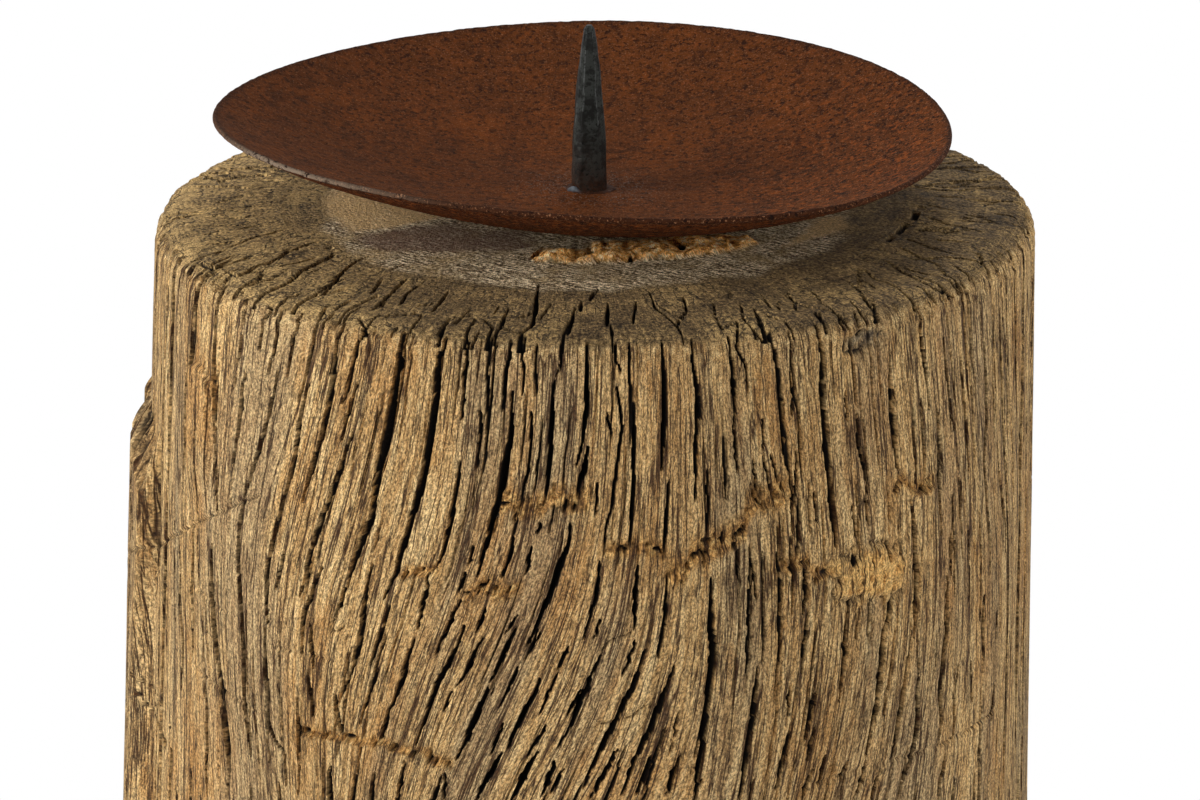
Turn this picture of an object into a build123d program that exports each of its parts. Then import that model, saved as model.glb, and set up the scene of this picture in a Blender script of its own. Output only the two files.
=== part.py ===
"""Pricket candle stand: a weathered round post that carries a steel drip dish and a forged spike.

The post stands on the XY plane with its drilled socket on the Z axis. The dish rests on the milled
seat at the top of the post, and the spike's tang drops into the socket, so that dish and spike lift
off together. Angles are measured in the XY plane from +X, and the face towards -Y is the front.
"""

import math
import os

from build123d import *

# Post, from the sawn foot to the milled seat
POST_HEIGHT = 300.0
FOOT_RADIUS = 97.0
BELLY_RADIUS = 95.5
WAIST_RADIUS = 93.1
NECK_RADIUS = 90.8
SHOULDER_RADIUS = 89.6
TOP_SHIFT = 1.3
FOOT_SHIFT = 4.0
CROWN_RADIUS = 72.0
SHOULDER_DROP = 10.0
EDGE_DROP = 4.0
EDGE_INSET = 3.6
SEAT_RADIUS = 62.0
SEAT_DEPTH = 0.8
BELLY_HEIGHT_SHARE = 0.3
WAIST_HEIGHT_SHARE = 0.62
NECK_HEIGHT_SHARE = 0.84

# Lobes that make the trunk out of round: count round the trunk and share of the radius
LOBE_SHARES = ((2, 0.010), (3, 0.006), (5, 0.004))
OUTLINE_POINTS = 20

# Flake of sapwood that stands proud on the left, broken off below the shoulder
FLAKE_THICKNESS = 4.2
FLAKE_DEPTH = 6.0
FLAKE_TOP_DROP = 32.0
FLAKE_BREAK_HEIGHT = 11.0
FLAKE_START_ANGLE = 158.0
FLAKE_SWEEP_ANGLE = 38.0

# Drying checks in the front, as the photograph shows them: angle from the front, height and length as
# shares of the post, width and depth as a share of the largest one, lean from the vertical in degrees
CHECK_WIDTH = 1.8
CHECK_DEPTH = 7.5
CHECK_POINT_SHARE = 0.15
FRONT_CHECK_SHARES = (
    (-61.0, 0.94, 0.16, 0.70, 3.0),
    (-52.0, 0.73, 0.17, 0.85, -10.0),
    (-47.0, 0.77, 0.17, 0.60, -5.0),
    (-40.0, 0.86, 0.17, 0.60, 12.0),
    (-36.0, 0.79, 0.08, 0.60, 14.0),
    (-34.5, 0.93, 0.13, 0.70, 12.0),
    (-33.5, 0.86, 0.12, 0.60, 18.0),
    (-28.5, 0.79, 0.10, 0.60, 11.0),
    (-26.5, 0.90, 0.18, 1.00, 11.0),
    (-22.5, 0.77, 0.06, 0.70, 17.0),
    (-21.0, 0.90, 0.18, 0.85, 11.0),
    (-18.0, 0.76, 0.09, 0.70, 20.0),
    (-17.0, 0.87, 0.09, 0.70, 12.0),
    (-14.0, 0.74, 0.07, 0.85, 21.0),
    (-11.0, 0.90, 0.13, 0.85, 10.0),
    (-7.5, 0.75, 0.06, 0.85, 22.0),
    (-5.0, 0.93, 0.10, 0.70, 4.0),
    (-4.5, 0.83, 0.09, 0.85, 18.0),
    (-1.0, 0.95, 0.09, 0.70, 4.0),
    (-1.0, 0.75, 0.07, 0.70, 21.0),
    (3.5, 0.74, 0.10, 0.85, 23.0),
    (5.0, 0.90, 0.10, 0.60, 1.0),
    (7.5, 0.73, 0.10, 0.85, 21.0),
    (8.5, 0.93, 0.09, 0.70, 0.0),
    (9.0, 0.84, 0.10, 0.60, 4.0),
    (12.5, 0.93, 0.11, 0.60, -2.0),
    (14.0, 0.76, 0.15, 1.00, 3.0),
    (17.0, 0.95, 0.08, 0.70, -3.0),
    (19.5, 0.75, 0.14, 0.80, 5.0),
    (23.0, 0.94, 0.11, 0.70, -7.0),
    (23.5, 0.82, 0.10, 0.60, -2.0),
    (29.5, 0.92, 0.16, 1.00, -6.0),
    (33.0, 0.77, 0.08, 0.70, 6.0),
    (35.0, 0.90, 0.06, 0.60, -10.0),
    (38.5, 0.75, 0.12, 0.70, 10.0),
    (40.0, 0.92, 0.09, 0.85, -7.0),
    (42.5, 0.72, 0.08, 0.70, 11.0),
    (44.5, 0.81, 0.10, 0.70, -4.0),
    (45.0, 0.70, 0.10, 0.60, 11.0),
    (50.5, 0.74, 0.12, 0.60, 4.0),
    (61.0, 0.86, 0.17, 0.45, -5.0),
)

# Long checks where the photograph doesn't show the post, in lanes round it that scatter by golden
# steps: behind, each lane breaks once on its way up, and at the front it ends where the photograph does
LANE_COUNT = 30
LANE_SWAY_ANGLE = 4.0
LANE_LEAN_ANGLE = 3.0
GOLDEN_SHARE = 0.618
LANE_SIZE_SHARE = 0.60
SIZE_SPREAD_SHARE = 0.40
LANE_BREAK_SHARE = 0.35
BREAK_SPREAD_SHARE = 0.30
BREAK_GAP_SHARE = 0.02
LANE_OVERRUN_SHARE = 0.05
FRONT_LANE_ANGLE = 66.0
FRONT_LANE_TOP_SHARE = 0.65

# Radial checks in the end grain: angle from the front, inner end and width as shares
END_CHECK_DEPTH = 9.0
END_CHECK_WIDTH = 2.0
END_CHECK_SHARES = (
    (-71.0, 0.78, 0.60),
    (-57.0, 0.80, 0.60),
    (-45.0, 0.76, 0.80),
    (-33.0, 0.78, 0.70),
    (-25.0, 0.76, 1.00),
    (-14.0, 0.82, 0.70),
    (-4.0, 0.76, 1.00),
    (6.0, 0.80, 0.80),
    (14.0, 0.80, 0.70),
    (28.0, 0.78, 1.00),
    (39.0, 0.72, 1.00),
    (54.0, 0.80, 0.60),
    (69.0, 0.76, 0.70),
    (92.0, 0.74, 0.80),
    (118.0, 0.78, 1.00),
    (141.0, 0.72, 0.90),
    (166.0, 0.78, 0.80),
    (190.0, 0.74, 1.00),
    (214.0, 0.78, 0.80),
    (238.0, 0.74, 0.90),
    (262.0, 0.78, 0.80),
)
FRONT_ANGLE = 270.0

# Drip dish, pressed from sheet
DISH_MOUTH_RADIUS = 74.3
DISH_FLOOR_RADIUS = 20.0
DISH_DEPTH = 15.0
DISH_TILT = 2.3
SHEET_THICKNESS = 1.8
RIM_FILLET = 0.5

# Forged spike and the tang below it
SPIKE_HEIGHT = 34.0
SPIKE_NECK_HEIGHT = 30.0
SPIKE_FOOT_WIDTH = 7.4
SPIKE_NECK_WIDTH = 3.4
SPIKE_TIP_WIDTH = 1.8
SPIKE_SIDES = 8
SPIKE_FACET_ANGLE = 10.0
TANG_DIAMETER = 7.0
TANG_LENGTH = 50.0
TANG_POINT_LENGTH = 8.0
TANG_POINT_DIAMETER = 3.0

# Weld that fills the corner between spike and dish
WELD_RADIUS = 6.4
WELD_TOP_RADIUS = 4.4
WELD_HEIGHT = 2.2
WELD_ROOT = 0.8

# Fits and cuts
DISH_HOLE_CLEARANCE = 0.15
SEAT_GAP = 0.05
SOCKET_CLEARANCE = 0.25
SOCKET_END_GAP = 3.0
CUT_OVERRUN = 4.0

# Levels that the pieces share
SHOULDER_LEVEL = POST_HEIGHT - SHOULDER_DROP
EDGE_LEVEL = POST_HEIGHT - EDGE_DROP
SEAT_LEVEL = POST_HEIGHT - SEAT_DEPTH

STATIONS = (
    (0.0, FOOT_RADIUS),
    (POST_HEIGHT * BELLY_HEIGHT_SHARE, BELLY_RADIUS),
    (POST_HEIGHT * WAIST_HEIGHT_SHARE, WAIST_RADIUS),
    (POST_HEIGHT * NECK_HEIGHT_SHARE, NECK_RADIUS),
    (SHOULDER_LEVEL, SHOULDER_RADIUS),
)


def trunk_radius(radius, angle):
    """Radius of the out-of-round trunk at an angle in degrees, where its mean radius is given."""
    return radius * (1 + sum(share * math.sin(math.radians(count * angle)) for count, share in LOBE_SHARES))


def mean_radius(level):
    """Mean radius of the trunk at a level, on straight lines between the stations."""
    for (low, low_radius), (high, high_radius) in zip(STATIONS, STATIONS[1:]):
        if level <= high:
            return low_radius + (high_radius - low_radius) * (level - low) / (high - low)
    return SHOULDER_RADIUS


def around(radius, angle, level=POST_HEIGHT):
    """Point at a radius and an angle in degrees round the middle of the leaning trunk at a level.

    The trunk's middle is left of the Z axis at the foot and right of it at the top.
    """
    shift = (TOP_SHIFT + FOOT_SHIFT) * level / POST_HEIGHT - FOOT_SHIFT
    return (shift + radius * math.cos(math.radians(angle)), radius * math.sin(math.radians(angle)))


def trunk_outline(radius, level):
    """Closed outline of the trunk on the plane at a level."""
    angles = [360 * step / OUTLINE_POINTS for step in range(OUTLINE_POINTS)]
    points = [around(trunk_radius(radius, angle), angle, level) for angle in angles]
    with BuildSketch(Plane.XY.offset(level)) as outline:
        with BuildLine():
            Spline(*points, periodic=True)
        make_face()
    return outline.sketch


def flake_outline(level, proud):
    """Sector of the trunk's skin that the flake covers, standing proud of the skin at a level."""
    inner = mean_radius(level) - FLAKE_DEPTH
    outer = trunk_radius(mean_radius(level), FLAKE_START_ANGLE + FLAKE_SWEEP_ANGLE / 2) + proud
    middle = around(0, 0, level)
    with BuildSketch(Plane.XY.offset(level)) as outline:
        with BuildLine():
            inside = CenterArc(middle, inner, FLAKE_START_ANGLE, FLAKE_SWEEP_ANGLE)
            outside = CenterArc(middle, outer, FLAKE_START_ANGLE, FLAKE_SWEEP_ANGLE)
            Line(inside @ 0, outside @ 0)
            Line(inside @ 1, outside @ 1)
        make_face()
    return outline.sketch


def skin_plane(radius, angle, level, lean):
    """Plane that touches the trunk, its Y axis up the grain and its top leaning right by lean degrees."""
    turn = math.radians(angle)
    slope = math.radians(lean)
    return Plane(
        origin=(*around(radius, angle, level), level),
        x_dir=(-math.sin(turn) * math.cos(slope), math.cos(turn) * math.cos(slope), -math.sin(slope)),
        z_dir=(math.cos(turn), math.sin(turn), 0),
    )


def slit(plane, length, width):
    """Slit with two pointed ends on a plane, its tips on the plane's Y axis."""
    tip = length / 2
    straight = tip - length * CHECK_POINT_SHARE
    with BuildSketch(plane) as outline:
        Polygon(
            (0, -tip),
            (width / 2, -straight),
            (width / 2, straight),
            (0, tip),
            (-width / 2, straight),
            (-width / 2, -straight),
            align=None,
        )
    return outline.sketch


def scatter(lane, step):
    """Share between 0 and 1 that jumps from lane to lane."""
    return lane * step * GOLDEN_SHARE % 1


def lane_checks():
    """Long checks in the lanes, each written as the checks in the front are."""
    found = []
    for lane in range(LANE_COUNT):
        angle = 360 * lane / LANE_COUNT - 180 + LANE_SWAY_ANGLE * scatter(lane, 1)
        lean = LANE_LEAN_ANGLE * (scatter(lane, 3) - 0.5)
        size_share = LANE_SIZE_SHARE + SIZE_SPREAD_SHARE * scatter(lane, 5)
        break_share = LANE_BREAK_SHARE + BREAK_SPREAD_SHARE * scatter(lane, 2)
        runs = [
            (-LANE_OVERRUN_SHARE, break_share - BREAK_GAP_SHARE),
            (break_share + BREAK_GAP_SHARE, 1 + LANE_OVERRUN_SHARE),
        ]
        if abs(angle) < FRONT_LANE_ANGLE:
            runs = [(-LANE_OVERRUN_SHARE, FRONT_LANE_TOP_SHARE)]
        for low, high in runs:
            found.append((angle, (low + high) / 2, high - low, size_share, lean))
    return found


# Post: trunk, sloping crown, flake, checks and the socket for the tang
with BuildPart() as post:
    loft([trunk_outline(radius, level) for level, radius in STATIONS])

    with BuildSketch(Plane.XY.offset(POST_HEIGHT)) as crown:
        Circle(CROWN_RADIUS)
    loft(
        [
            trunk_outline(SHOULDER_RADIUS, SHOULDER_LEVEL),
            trunk_outline(SHOULDER_RADIUS - EDGE_INSET, EDGE_LEVEL),
            crown.sketch,
        ],
        ruled=True,
    )

    flake_top = POST_HEIGHT - FLAKE_TOP_DROP
    loft(
        [
            flake_outline(0.0, FLAKE_THICKNESS),
            flake_outline(flake_top - FLAKE_BREAK_HEIGHT, FLAKE_THICKNESS),
            flake_outline(flake_top, 0.0),
        ],
        ruled=True,
    )

    checks = []
    for angle, height_share, length_share, size_share, lean in (*FRONT_CHECK_SHARES, *lane_checks()):
        level = POST_HEIGHT * height_share
        radius = trunk_radius(mean_radius(level), FRONT_ANGLE + angle)
        skin = skin_plane(radius, FRONT_ANGLE + angle, level, lean)
        mouth = slit(skin, POST_HEIGHT * length_share, CHECK_WIDTH * size_share)
        checks.append(extrude(mouth, CHECK_DEPTH * size_share, both=True, mode=Mode.PRIVATE))
    for angle, inner_share, width_share in END_CHECK_SHARES:
        inner = SHOULDER_RADIUS * inner_share
        outer = SHOULDER_RADIUS + CUT_OVERRUN
        skin = skin_plane((inner + outer) / 2, FRONT_ANGLE + angle, POST_HEIGHT, 0)
        grain_end = Plane(origin=skin.origin, x_dir=skin.x_dir, z_dir=(0, 0, 1))
        mouth = slit(grain_end, outer - inner, END_CHECK_WIDTH * width_share)
        checks.append(extrude(mouth, -END_CHECK_DEPTH, mode=Mode.PRIVATE))
    add(checks, mode=Mode.SUBTRACT)

    with Locations((0, 0, POST_HEIGHT)):
        Hole(SEAT_RADIUS, SEAT_DEPTH)
    with Locations((0, 0, SEAT_LEVEL)):
        Hole(TANG_DIAMETER / 2 + SOCKET_CLEARANCE, TANG_LENGTH + SOCKET_END_GAP)
post.part.label = "post"

# Drip dish: a flat floor that sweeps up into an arc, cut square at the rim, tilted down to the right
tilt = math.radians(DISH_TILT)
wall_angle = 2 * math.atan2(DISH_DEPTH, DISH_MOUTH_RADIUS - DISH_FLOOR_RADIUS)
wall_radius = (DISH_MOUTH_RADIUS - DISH_FLOOR_RADIUS) / math.sin(wall_angle)
spike_corner_radius = SPIKE_FOOT_WIDTH / 2 / math.cos(math.pi / SPIKE_SIDES)
dish_hole_radius = spike_corner_radius + DISH_HOLE_CLEARANCE
dish_rise = DISH_FLOOR_RADIUS * math.sin(tilt) + (wall_radius + SHEET_THICKNESS) * (1 - math.cos(tilt))
dish_level = SEAT_LEVEL + dish_rise + SEAT_GAP
floor_level = dish_level + SHEET_THICKNESS
dish_section = Plane(origin=(0, 0, dish_level), x_dir=(math.cos(tilt), 0, -math.sin(tilt)), z_dir=(0, -1, 0))
dish_axis = Axis((0, 0, dish_level), (math.sin(tilt), 0, math.cos(tilt)))
with BuildPart() as drip_dish:
    with BuildSketch(dish_section):
        with BuildLine():
            inside = JernArc((DISH_FLOOR_RADIUS, SHEET_THICKNESS), (1, 0), wall_radius,
                             math.degrees(wall_angle))
            outside = JernArc((DISH_FLOOR_RADIUS, 0), (1, 0), wall_radius + SHEET_THICKNESS,
                              math.degrees(wall_angle))
            Line(inside @ 1, outside @ 1)
            Polyline(inside @ 0, (dish_hole_radius, SHEET_THICKNESS), (dish_hole_radius, 0), outside @ 0)
        make_face()
    revolve(axis=dish_axis)
    rim = drip_dish.faces().filter_by(GeomType.CONE)[0]
    fillet(rim.edges().filter_by(GeomType.CIRCLE), RIM_FILLET)
drip_dish.part.label = "drip_dish"

# Spike: an eight-sided taper drawn out to a blunt tip, with a round tang that ends in a point
with BuildPart() as pricket_spike:
    for height, width in (
        (0.0, SPIKE_FOOT_WIDTH),
        (SPIKE_NECK_HEIGHT, SPIKE_NECK_WIDTH),
        (SPIKE_HEIGHT, SPIKE_TIP_WIDTH),
    ):
        with BuildSketch(Plane.XY.offset(floor_level + height)):
            RegularPolygon(width / 2, SPIKE_SIDES, major_radius=False, rotation=SPIKE_FACET_ANGLE)
    loft(ruled=True)

    tang_end = SEAT_LEVEL - TANG_LENGTH
    with BuildSketch(Plane.XZ):
        Polygon(
            (0, floor_level),
            (TANG_DIAMETER / 2, floor_level),
            (TANG_DIAMETER / 2, tang_end + TANG_POINT_LENGTH),
            (TANG_POINT_DIAMETER / 2, tang_end),
            (0, tang_end),
            align=None,
        )
    revolve(axis=Axis.Z)
pricket_spike.part.label = "pricket_spike"

# Weld: a sloping ring on the dish floor that hugs the spike's facets and runs into the hole
with BuildPart() as weld_bead:
    with BuildSketch(Plane.XZ):
        Polygon(
            (0, floor_level - WELD_ROOT),
            (WELD_RADIUS, floor_level - WELD_ROOT),
            (WELD_RADIUS, floor_level),
            (WELD_TOP_RADIUS, floor_level + WELD_HEIGHT),
            (0, floor_level + WELD_HEIGHT),
            align=None,
        )
    revolve(axis=Axis.Z)
    add(pricket_spike.part, mode=Mode.SUBTRACT)
    add(drip_dish.part, mode=Mode.SUBTRACT)
weld_bead.part.label = "weld_bead"

os.makedirs("parts", exist_ok=True)
for piece in (post, drip_dish, pricket_spike, weld_bead):
    export_step(piece.part, f"parts/{piece.part.label}.step")
    print(piece.part.label, len(piece.part.solids()), "solid", round(piece.part.volume), "mm3")
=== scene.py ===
"""Pricket candle stand, dressed: weathered post, rusted drip dish, forged spike and its weld.

Lengths are millimetres while a piece is worked out, and become metres when its mesh is made.
A turn is an angle round the post in radians, 0 at the front and positive to the right.
Traced places are pixels of the 1200 x 800 view, carried on to the post along the lines of sight.
"""
import logging
import math
from dataclasses import dataclass, field
from enum import Enum

import bpy
import numpy as np
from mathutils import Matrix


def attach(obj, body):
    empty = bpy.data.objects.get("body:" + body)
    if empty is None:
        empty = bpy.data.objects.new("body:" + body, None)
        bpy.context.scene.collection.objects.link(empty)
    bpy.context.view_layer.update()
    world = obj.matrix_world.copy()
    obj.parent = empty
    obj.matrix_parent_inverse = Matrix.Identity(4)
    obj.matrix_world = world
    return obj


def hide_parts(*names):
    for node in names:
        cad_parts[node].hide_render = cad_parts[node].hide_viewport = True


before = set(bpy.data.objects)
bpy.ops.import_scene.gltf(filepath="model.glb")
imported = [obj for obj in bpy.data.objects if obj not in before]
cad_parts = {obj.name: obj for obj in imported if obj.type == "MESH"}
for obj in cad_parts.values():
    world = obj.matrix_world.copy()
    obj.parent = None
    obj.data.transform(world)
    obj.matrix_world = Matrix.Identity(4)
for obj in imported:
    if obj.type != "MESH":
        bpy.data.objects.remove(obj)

LOG = logging.getLogger("candle_stand")
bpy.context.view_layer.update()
MM = 0.001
PIXELS_PER_MM = 4.9
CRACK_BEND_SCALE = 420.0
CRACK_BEND_REACH = 0.9

Trace = tuple[float, ...]
Colour = tuple[int, int, int]
Factors = tuple[float, float, float]

# Checks in the side: width, then x and y of each point from the top down
SIDE_CHECKS: tuple[Trace, ...] = (
    (6, 198, 276, 195, 320, 193, 350, 190, 375, 189, 420, 190, 460),
    (2.5, 219, 291, 216, 321, 216, 353, 215, 421),
    (6, 266, 295, 262, 321, 259, 351),
    (2, 242, 325, 240, 357, 234, 389),
    (4, 246, 374, 242, 404, 236, 443, 232, 464),
    (4, 279, 370, 272, 398, 266, 421, 257, 454, 249, 484, 244, 496),
    (2.5, 277, 331, 273, 351, 268, 374),
    (4, 295, 324, 291, 349, 286, 379),
    (4, 313, 331, 309, 357, 304, 383, 298, 400),
    (4.5, 309, 383, 302, 413, 298, 443, 294, 464, 287, 486, 279, 520, 274, 540, 268, 562, 267, 589,
     268, 624),
    (6, 339, 329, 334, 361, 331, 391, 326, 421, 319, 449, 314, 464, 309, 481, 303, 501),
    (5, 360, 321, 357, 342, 352, 370, 347, 391, 343, 404),
    (3.5, 358, 383, 351, 404, 345, 426, 341, 441),
    (5, 352, 434, 345, 454, 341, 469, 334, 486, 328, 503, 320, 522, 314, 540, 309, 558, 305, 580, 300, 597),
    (8, 400, 341, 397, 372, 393, 396, 389, 421, 384, 447, 378, 471, 375, 490, 371, 518, 365, 533, 358, 551,
     352, 569, 347, 589),
    (4, 345, 589, 340, 604, 336, 617),
    (7, 444, 336, 439, 349, 437, 375, 437, 396, 432, 429, 428, 450, 424, 471, 419, 493, 412, 514, 408, 531,
     402, 553, 397, 572, 391, 586, 385, 600),
    (4, 389, 606, 385, 624, 379, 642, 371, 664),
    (5, 466, 349, 465, 371, 464, 401, 461, 420),
    (5.5, 460, 461, 458, 482, 454, 504, 451, 525, 445, 545, 438, 564, 431, 576),
    (5, 430, 573, 427, 592, 421, 614, 419, 629),
    (6, 416, 638, 408, 661, 401, 682, 395, 698, 391, 710),
    (2, 488, 371, 488, 394, 486, 429),
    (3, 481, 409, 480, 439, 477, 467),
    (6, 509, 354, 506, 371, 504, 390, 503, 411),
    (7, 512, 392, 511, 429, 507, 454, 503, 482, 498, 506, 492, 522, 487, 546, 481, 567, 478, 578),
    (2, 522, 354, 524, 371, 522, 396),
    (2, 535, 373, 536, 396),
    (3, 531, 411, 531, 439, 528, 467, 525, 486, 521, 504, 514, 510),
    (3, 560, 362, 557, 375),
    (6, 555, 381, 552, 407, 551, 437, 549, 471, 544, 504, 540, 514),
    (4, 541, 523, 539, 534),
    (6, 587, 362, 587, 386, 587, 407, 585, 429, 580, 454, 577, 465),
    (7, 588, 446, 585, 467, 579, 489, 577, 497),
    (4, 616, 356, 621, 373),
    (3.5, 616, 386, 620, 407, 622, 429, 619, 450, 615, 482, 611, 510, 607, 527, 605, 551),
    (3, 629, 379, 632, 396),
    (5, 635, 405, 635, 429, 634, 454, 634, 482, 632, 514, 630, 551),
    (6, 663, 364, 664, 386, 665, 407, 664, 437, 662, 471),
    (5, 669, 482, 668, 504, 666, 531, 665, 555),
    (2, 607, 414, 612, 437),
    (2, 597, 482, 596, 514),
    (7, 570, 523, 569, 544, 564, 559, 559, 572, 551, 590, 543, 611, 536, 626, 528, 646),
    (4, 513, 536, 511, 553, 506, 568, 503, 579),
    (5, 532, 546, 529, 561, 526, 574),
    (4, 599, 561, 599, 581, 596, 599, 590, 620, 584, 639),
    (3, 601, 620, 594, 639),
    (6, 639, 566, 637, 586, 636, 607, 634, 629),
    (4, 635, 639, 631, 656, 622, 676),
    (7, 646, 650, 639, 671, 631, 693, 622, 710, 614, 725, 607, 738, 599, 755, 592, 768, 584, 787),
    (5, 667, 577, 665, 607, 662, 637, 657, 659),
    (7, 675, 664, 669, 685, 660, 708, 650, 731, 641, 751, 633, 770, 622, 796),
    (6, 618, 749, 609, 766, 601, 781, 592, 798),
    (7, 680, 757, 674, 776, 667, 796),
    (6, 652, 755, 644, 776, 635, 798),
    (6, 556, 761, 549, 779, 543, 796),
    (5, 564, 770, 551, 794),
    (4, 406, 759, 401, 779, 398, 800),
    (3, 446, 774, 444, 800),
    (3, 474, 547, 470, 564),
    (4, 466, 573, 459, 592),
    (4, 461, 599, 454, 614, 446, 633, 436, 654),
    (6, 465, 626, 457, 646, 449, 665, 438, 684, 429, 708, 423, 725, 416, 746),
    (4, 487, 609, 481, 624, 476, 633),
    (5, 483, 639, 474, 656, 466, 674, 455, 686),
    (3, 451, 693, 444, 710),
    (3, 517, 616, 506, 633),
    (6, 517, 629, 509, 641, 502, 659, 494, 674, 491, 682),
    (7, 489, 686, 483, 704, 474, 721, 468, 738, 459, 755, 455, 761),
    (3, 541, 633, 530, 654),
    (4, 519, 667, 511, 686, 500, 706),
    (7, 541, 680, 534, 697, 526, 712, 517, 731, 509, 749),
    (4, 504, 723, 498, 736, 491, 755),
    (7, 502, 753, 494, 768, 483, 787, 477, 800),
    (8, 539, 753, 530, 766, 521, 783, 515, 798),
    (5, 569, 646, 562, 661, 559, 669),
    (3, 558, 674, 549, 693, 541, 714),
    (4, 547, 725, 539, 740, 528, 757),
    (4, 581, 689, 573, 706, 566, 716),
    (6, 601, 656, 594, 671, 586, 691, 577, 712, 569, 731, 560, 746),
    (5, 693, 357, 697, 386, 697, 423, 696, 460, 696, 500),
    (2.5, 700, 397, 701, 420),
    (6, 731, 354, 734, 386, 734, 414, 733, 429),
    (4, 733, 429, 736, 454, 737, 471),
    (2, 739, 343, 746, 371, 749, 394),
    (2.5, 724, 437, 725, 471, 727, 500),
    (3.5, 707, 471, 709, 506, 707, 534),
    (6, 774, 334, 779, 371, 781, 400, 783, 429, 786, 460, 789, 471),
    (2.5, 789, 371, 793, 397, 791, 414),
    (2.5, 796, 451, 796, 483, 794, 506),
    (2.5, 763, 420, 764, 449),
    (3, 753, 460, 757, 486, 764, 506),
    (3, 763, 454, 770, 486, 776, 506),
    (2, 771, 454, 780, 486),
    (8, 820, 331, 823, 357, 823, 386, 823, 409, 826, 437, 829, 471, 831, 500, 834, 526, 836, 546),
    (2, 814, 491, 817, 523),
    (5, 857, 414, 860, 443, 866, 471, 867, 494),
    (2.5, 866, 500, 869, 526),
    (2, 846, 391, 848, 420),
    (3, 853, 506, 856, 537),
    (7, 890, 354, 891, 386, 893, 414, 896, 443, 899, 471),
    (3, 913, 406, 914, 437, 917, 477),
    (4, 921, 337, 926, 371, 929, 409),
    (4, 936, 409, 939, 437, 939, 471, 939, 500, 941, 534),
    (3, 943, 337, 946, 371, 951, 414, 954, 429),
    (3, 961, 357, 964, 394, 967, 437, 969, 471),
    (2.5, 971, 337, 973, 366),
    (3, 983, 337, 986, 380, 986, 420, 984, 460, 987, 500, 990, 543, 990, 574),
    (2.5, 997, 443, 1001, 486, 1006, 523, 1006, 557),
    (2.5, 959, 477, 960, 517),
    (3, 950, 534, 951, 574),
    (6, 910, 500, 914, 529, 917, 571, 916, 616, 915, 639),
    (3, 887, 540, 889, 566),
    (5, 777, 526, 779, 572, 780, 601, 779, 630, 780, 662),
    (3.5, 799, 500, 799, 529, 798, 555),
    (8, 711, 578, 712, 601, 711, 630, 714, 650, 711, 679, 708, 708, 704, 740, 699, 769, 695, 798),
    (5, 748, 590, 750, 616, 748, 645, 746, 674),
    (7, 757, 668, 756, 697, 753, 720, 748, 746, 743, 781, 740, 798),
    (5, 737, 549, 738, 581),
    (3, 751, 558, 757, 598),
    (4, 790, 685, 789, 717),
    (6, 792, 723, 785, 755, 777, 789),
    (6, 803, 566, 805, 595, 802, 613),
    (5, 808, 610, 805, 639, 802, 674),
    (6, 818, 682, 812, 711, 806, 740),
    (5, 815, 728, 808, 760),
    (5, 814, 769, 806, 789, 802, 798),
    (6, 850, 598, 848, 624, 844, 645, 847, 650, 842, 679, 840, 702),
    (3, 858, 613, 857, 639),
    (6, 892, 584, 889, 616, 884, 633, 881, 662, 879, 674, 877, 702, 871, 731, 866, 755),
    (6, 908, 656, 906, 685, 902, 708, 897, 737, 893, 760),
    (5, 921, 656, 919, 697, 919, 731, 912, 757, 905, 781, 900, 798),
    (5, 947, 578, 948, 604, 947, 630, 944, 650, 941, 685, 941, 720, 938, 746),
    (4, 951, 535, 952, 558),
    (3, 958, 665, 955, 702, 954, 740),
    (3, 984, 595, 983, 630, 984, 659),
    (2, 971, 662, 973, 702),
    (2, 997, 610, 996, 639),
    (3, 994, 685, 991, 720),
    (4, 825, 755, 819, 783),
    (5, 848, 760, 840, 781),
    (5, 866, 760, 863, 775, 854, 798),
    (5, 880, 769, 871, 798),
    (4, 945, 755, 941, 778, 939, 798),
    (4, 980, 731, 980, 778),
    (3, 285, 553, 279, 573, 276, 589),
    (5, 323, 566, 316, 582, 311, 597, 305, 611, 303, 624, 302, 655),
    (4, 311, 624, 311, 642, 314, 668),
    (4, 308, 673, 311, 695, 313, 717),
    (5, 373, 564, 368, 582, 364, 600, 362, 624, 359, 644, 355, 659, 351, 673, 346, 684, 342, 695),
    (3, 379, 670, 371, 690, 365, 706, 360, 724),
    (5, 390, 706, 385, 724, 380, 741),
    (5, 334, 695, 338, 721, 340, 735),
    (5, 244, 500, 239, 531, 238, 558, 239, 589, 241, 615, 243, 646, 244, 677, 244, 704, 248, 732, 251, 755),
    (7, 212, 544, 211, 573, 211, 600, 213, 624, 216, 651, 221, 684, 223, 710, 226, 739, 228, 766, 227, 800),
    (3, 193, 522, 192, 555, 191, 589, 192, 624, 192, 655),
    (2.5, 179, 535, 180, 566, 179, 600, 182, 642, 181, 688),
    (3, 164, 584, 163, 633, 163, 677),
    (4, 205, 688, 206, 721, 205, 755, 206, 788),
    (4, 265, 628, 265, 659, 267, 690, 268, 721, 274, 739, 285, 757, 298, 763),
    (4, 297, 699, 299, 732, 298, 761),
    (4, 299, 766, 298, 794),
    (6, 331, 766, 328, 800),
    (4.5, 145, 642, 149, 664, 148, 684, 152, 701, 164, 713, 170, 726, 171, 755, 169, 800),
    (6, 143, 447, 150, 480, 152, 504, 154, 538),
    (3, 148, 564, 146, 593, 150, 611),
    (3, 213, 372, 214, 420, 216, 470, 217, 510),
    (2.5, 186, 374, 185, 420, 184, 470),
)

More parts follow.
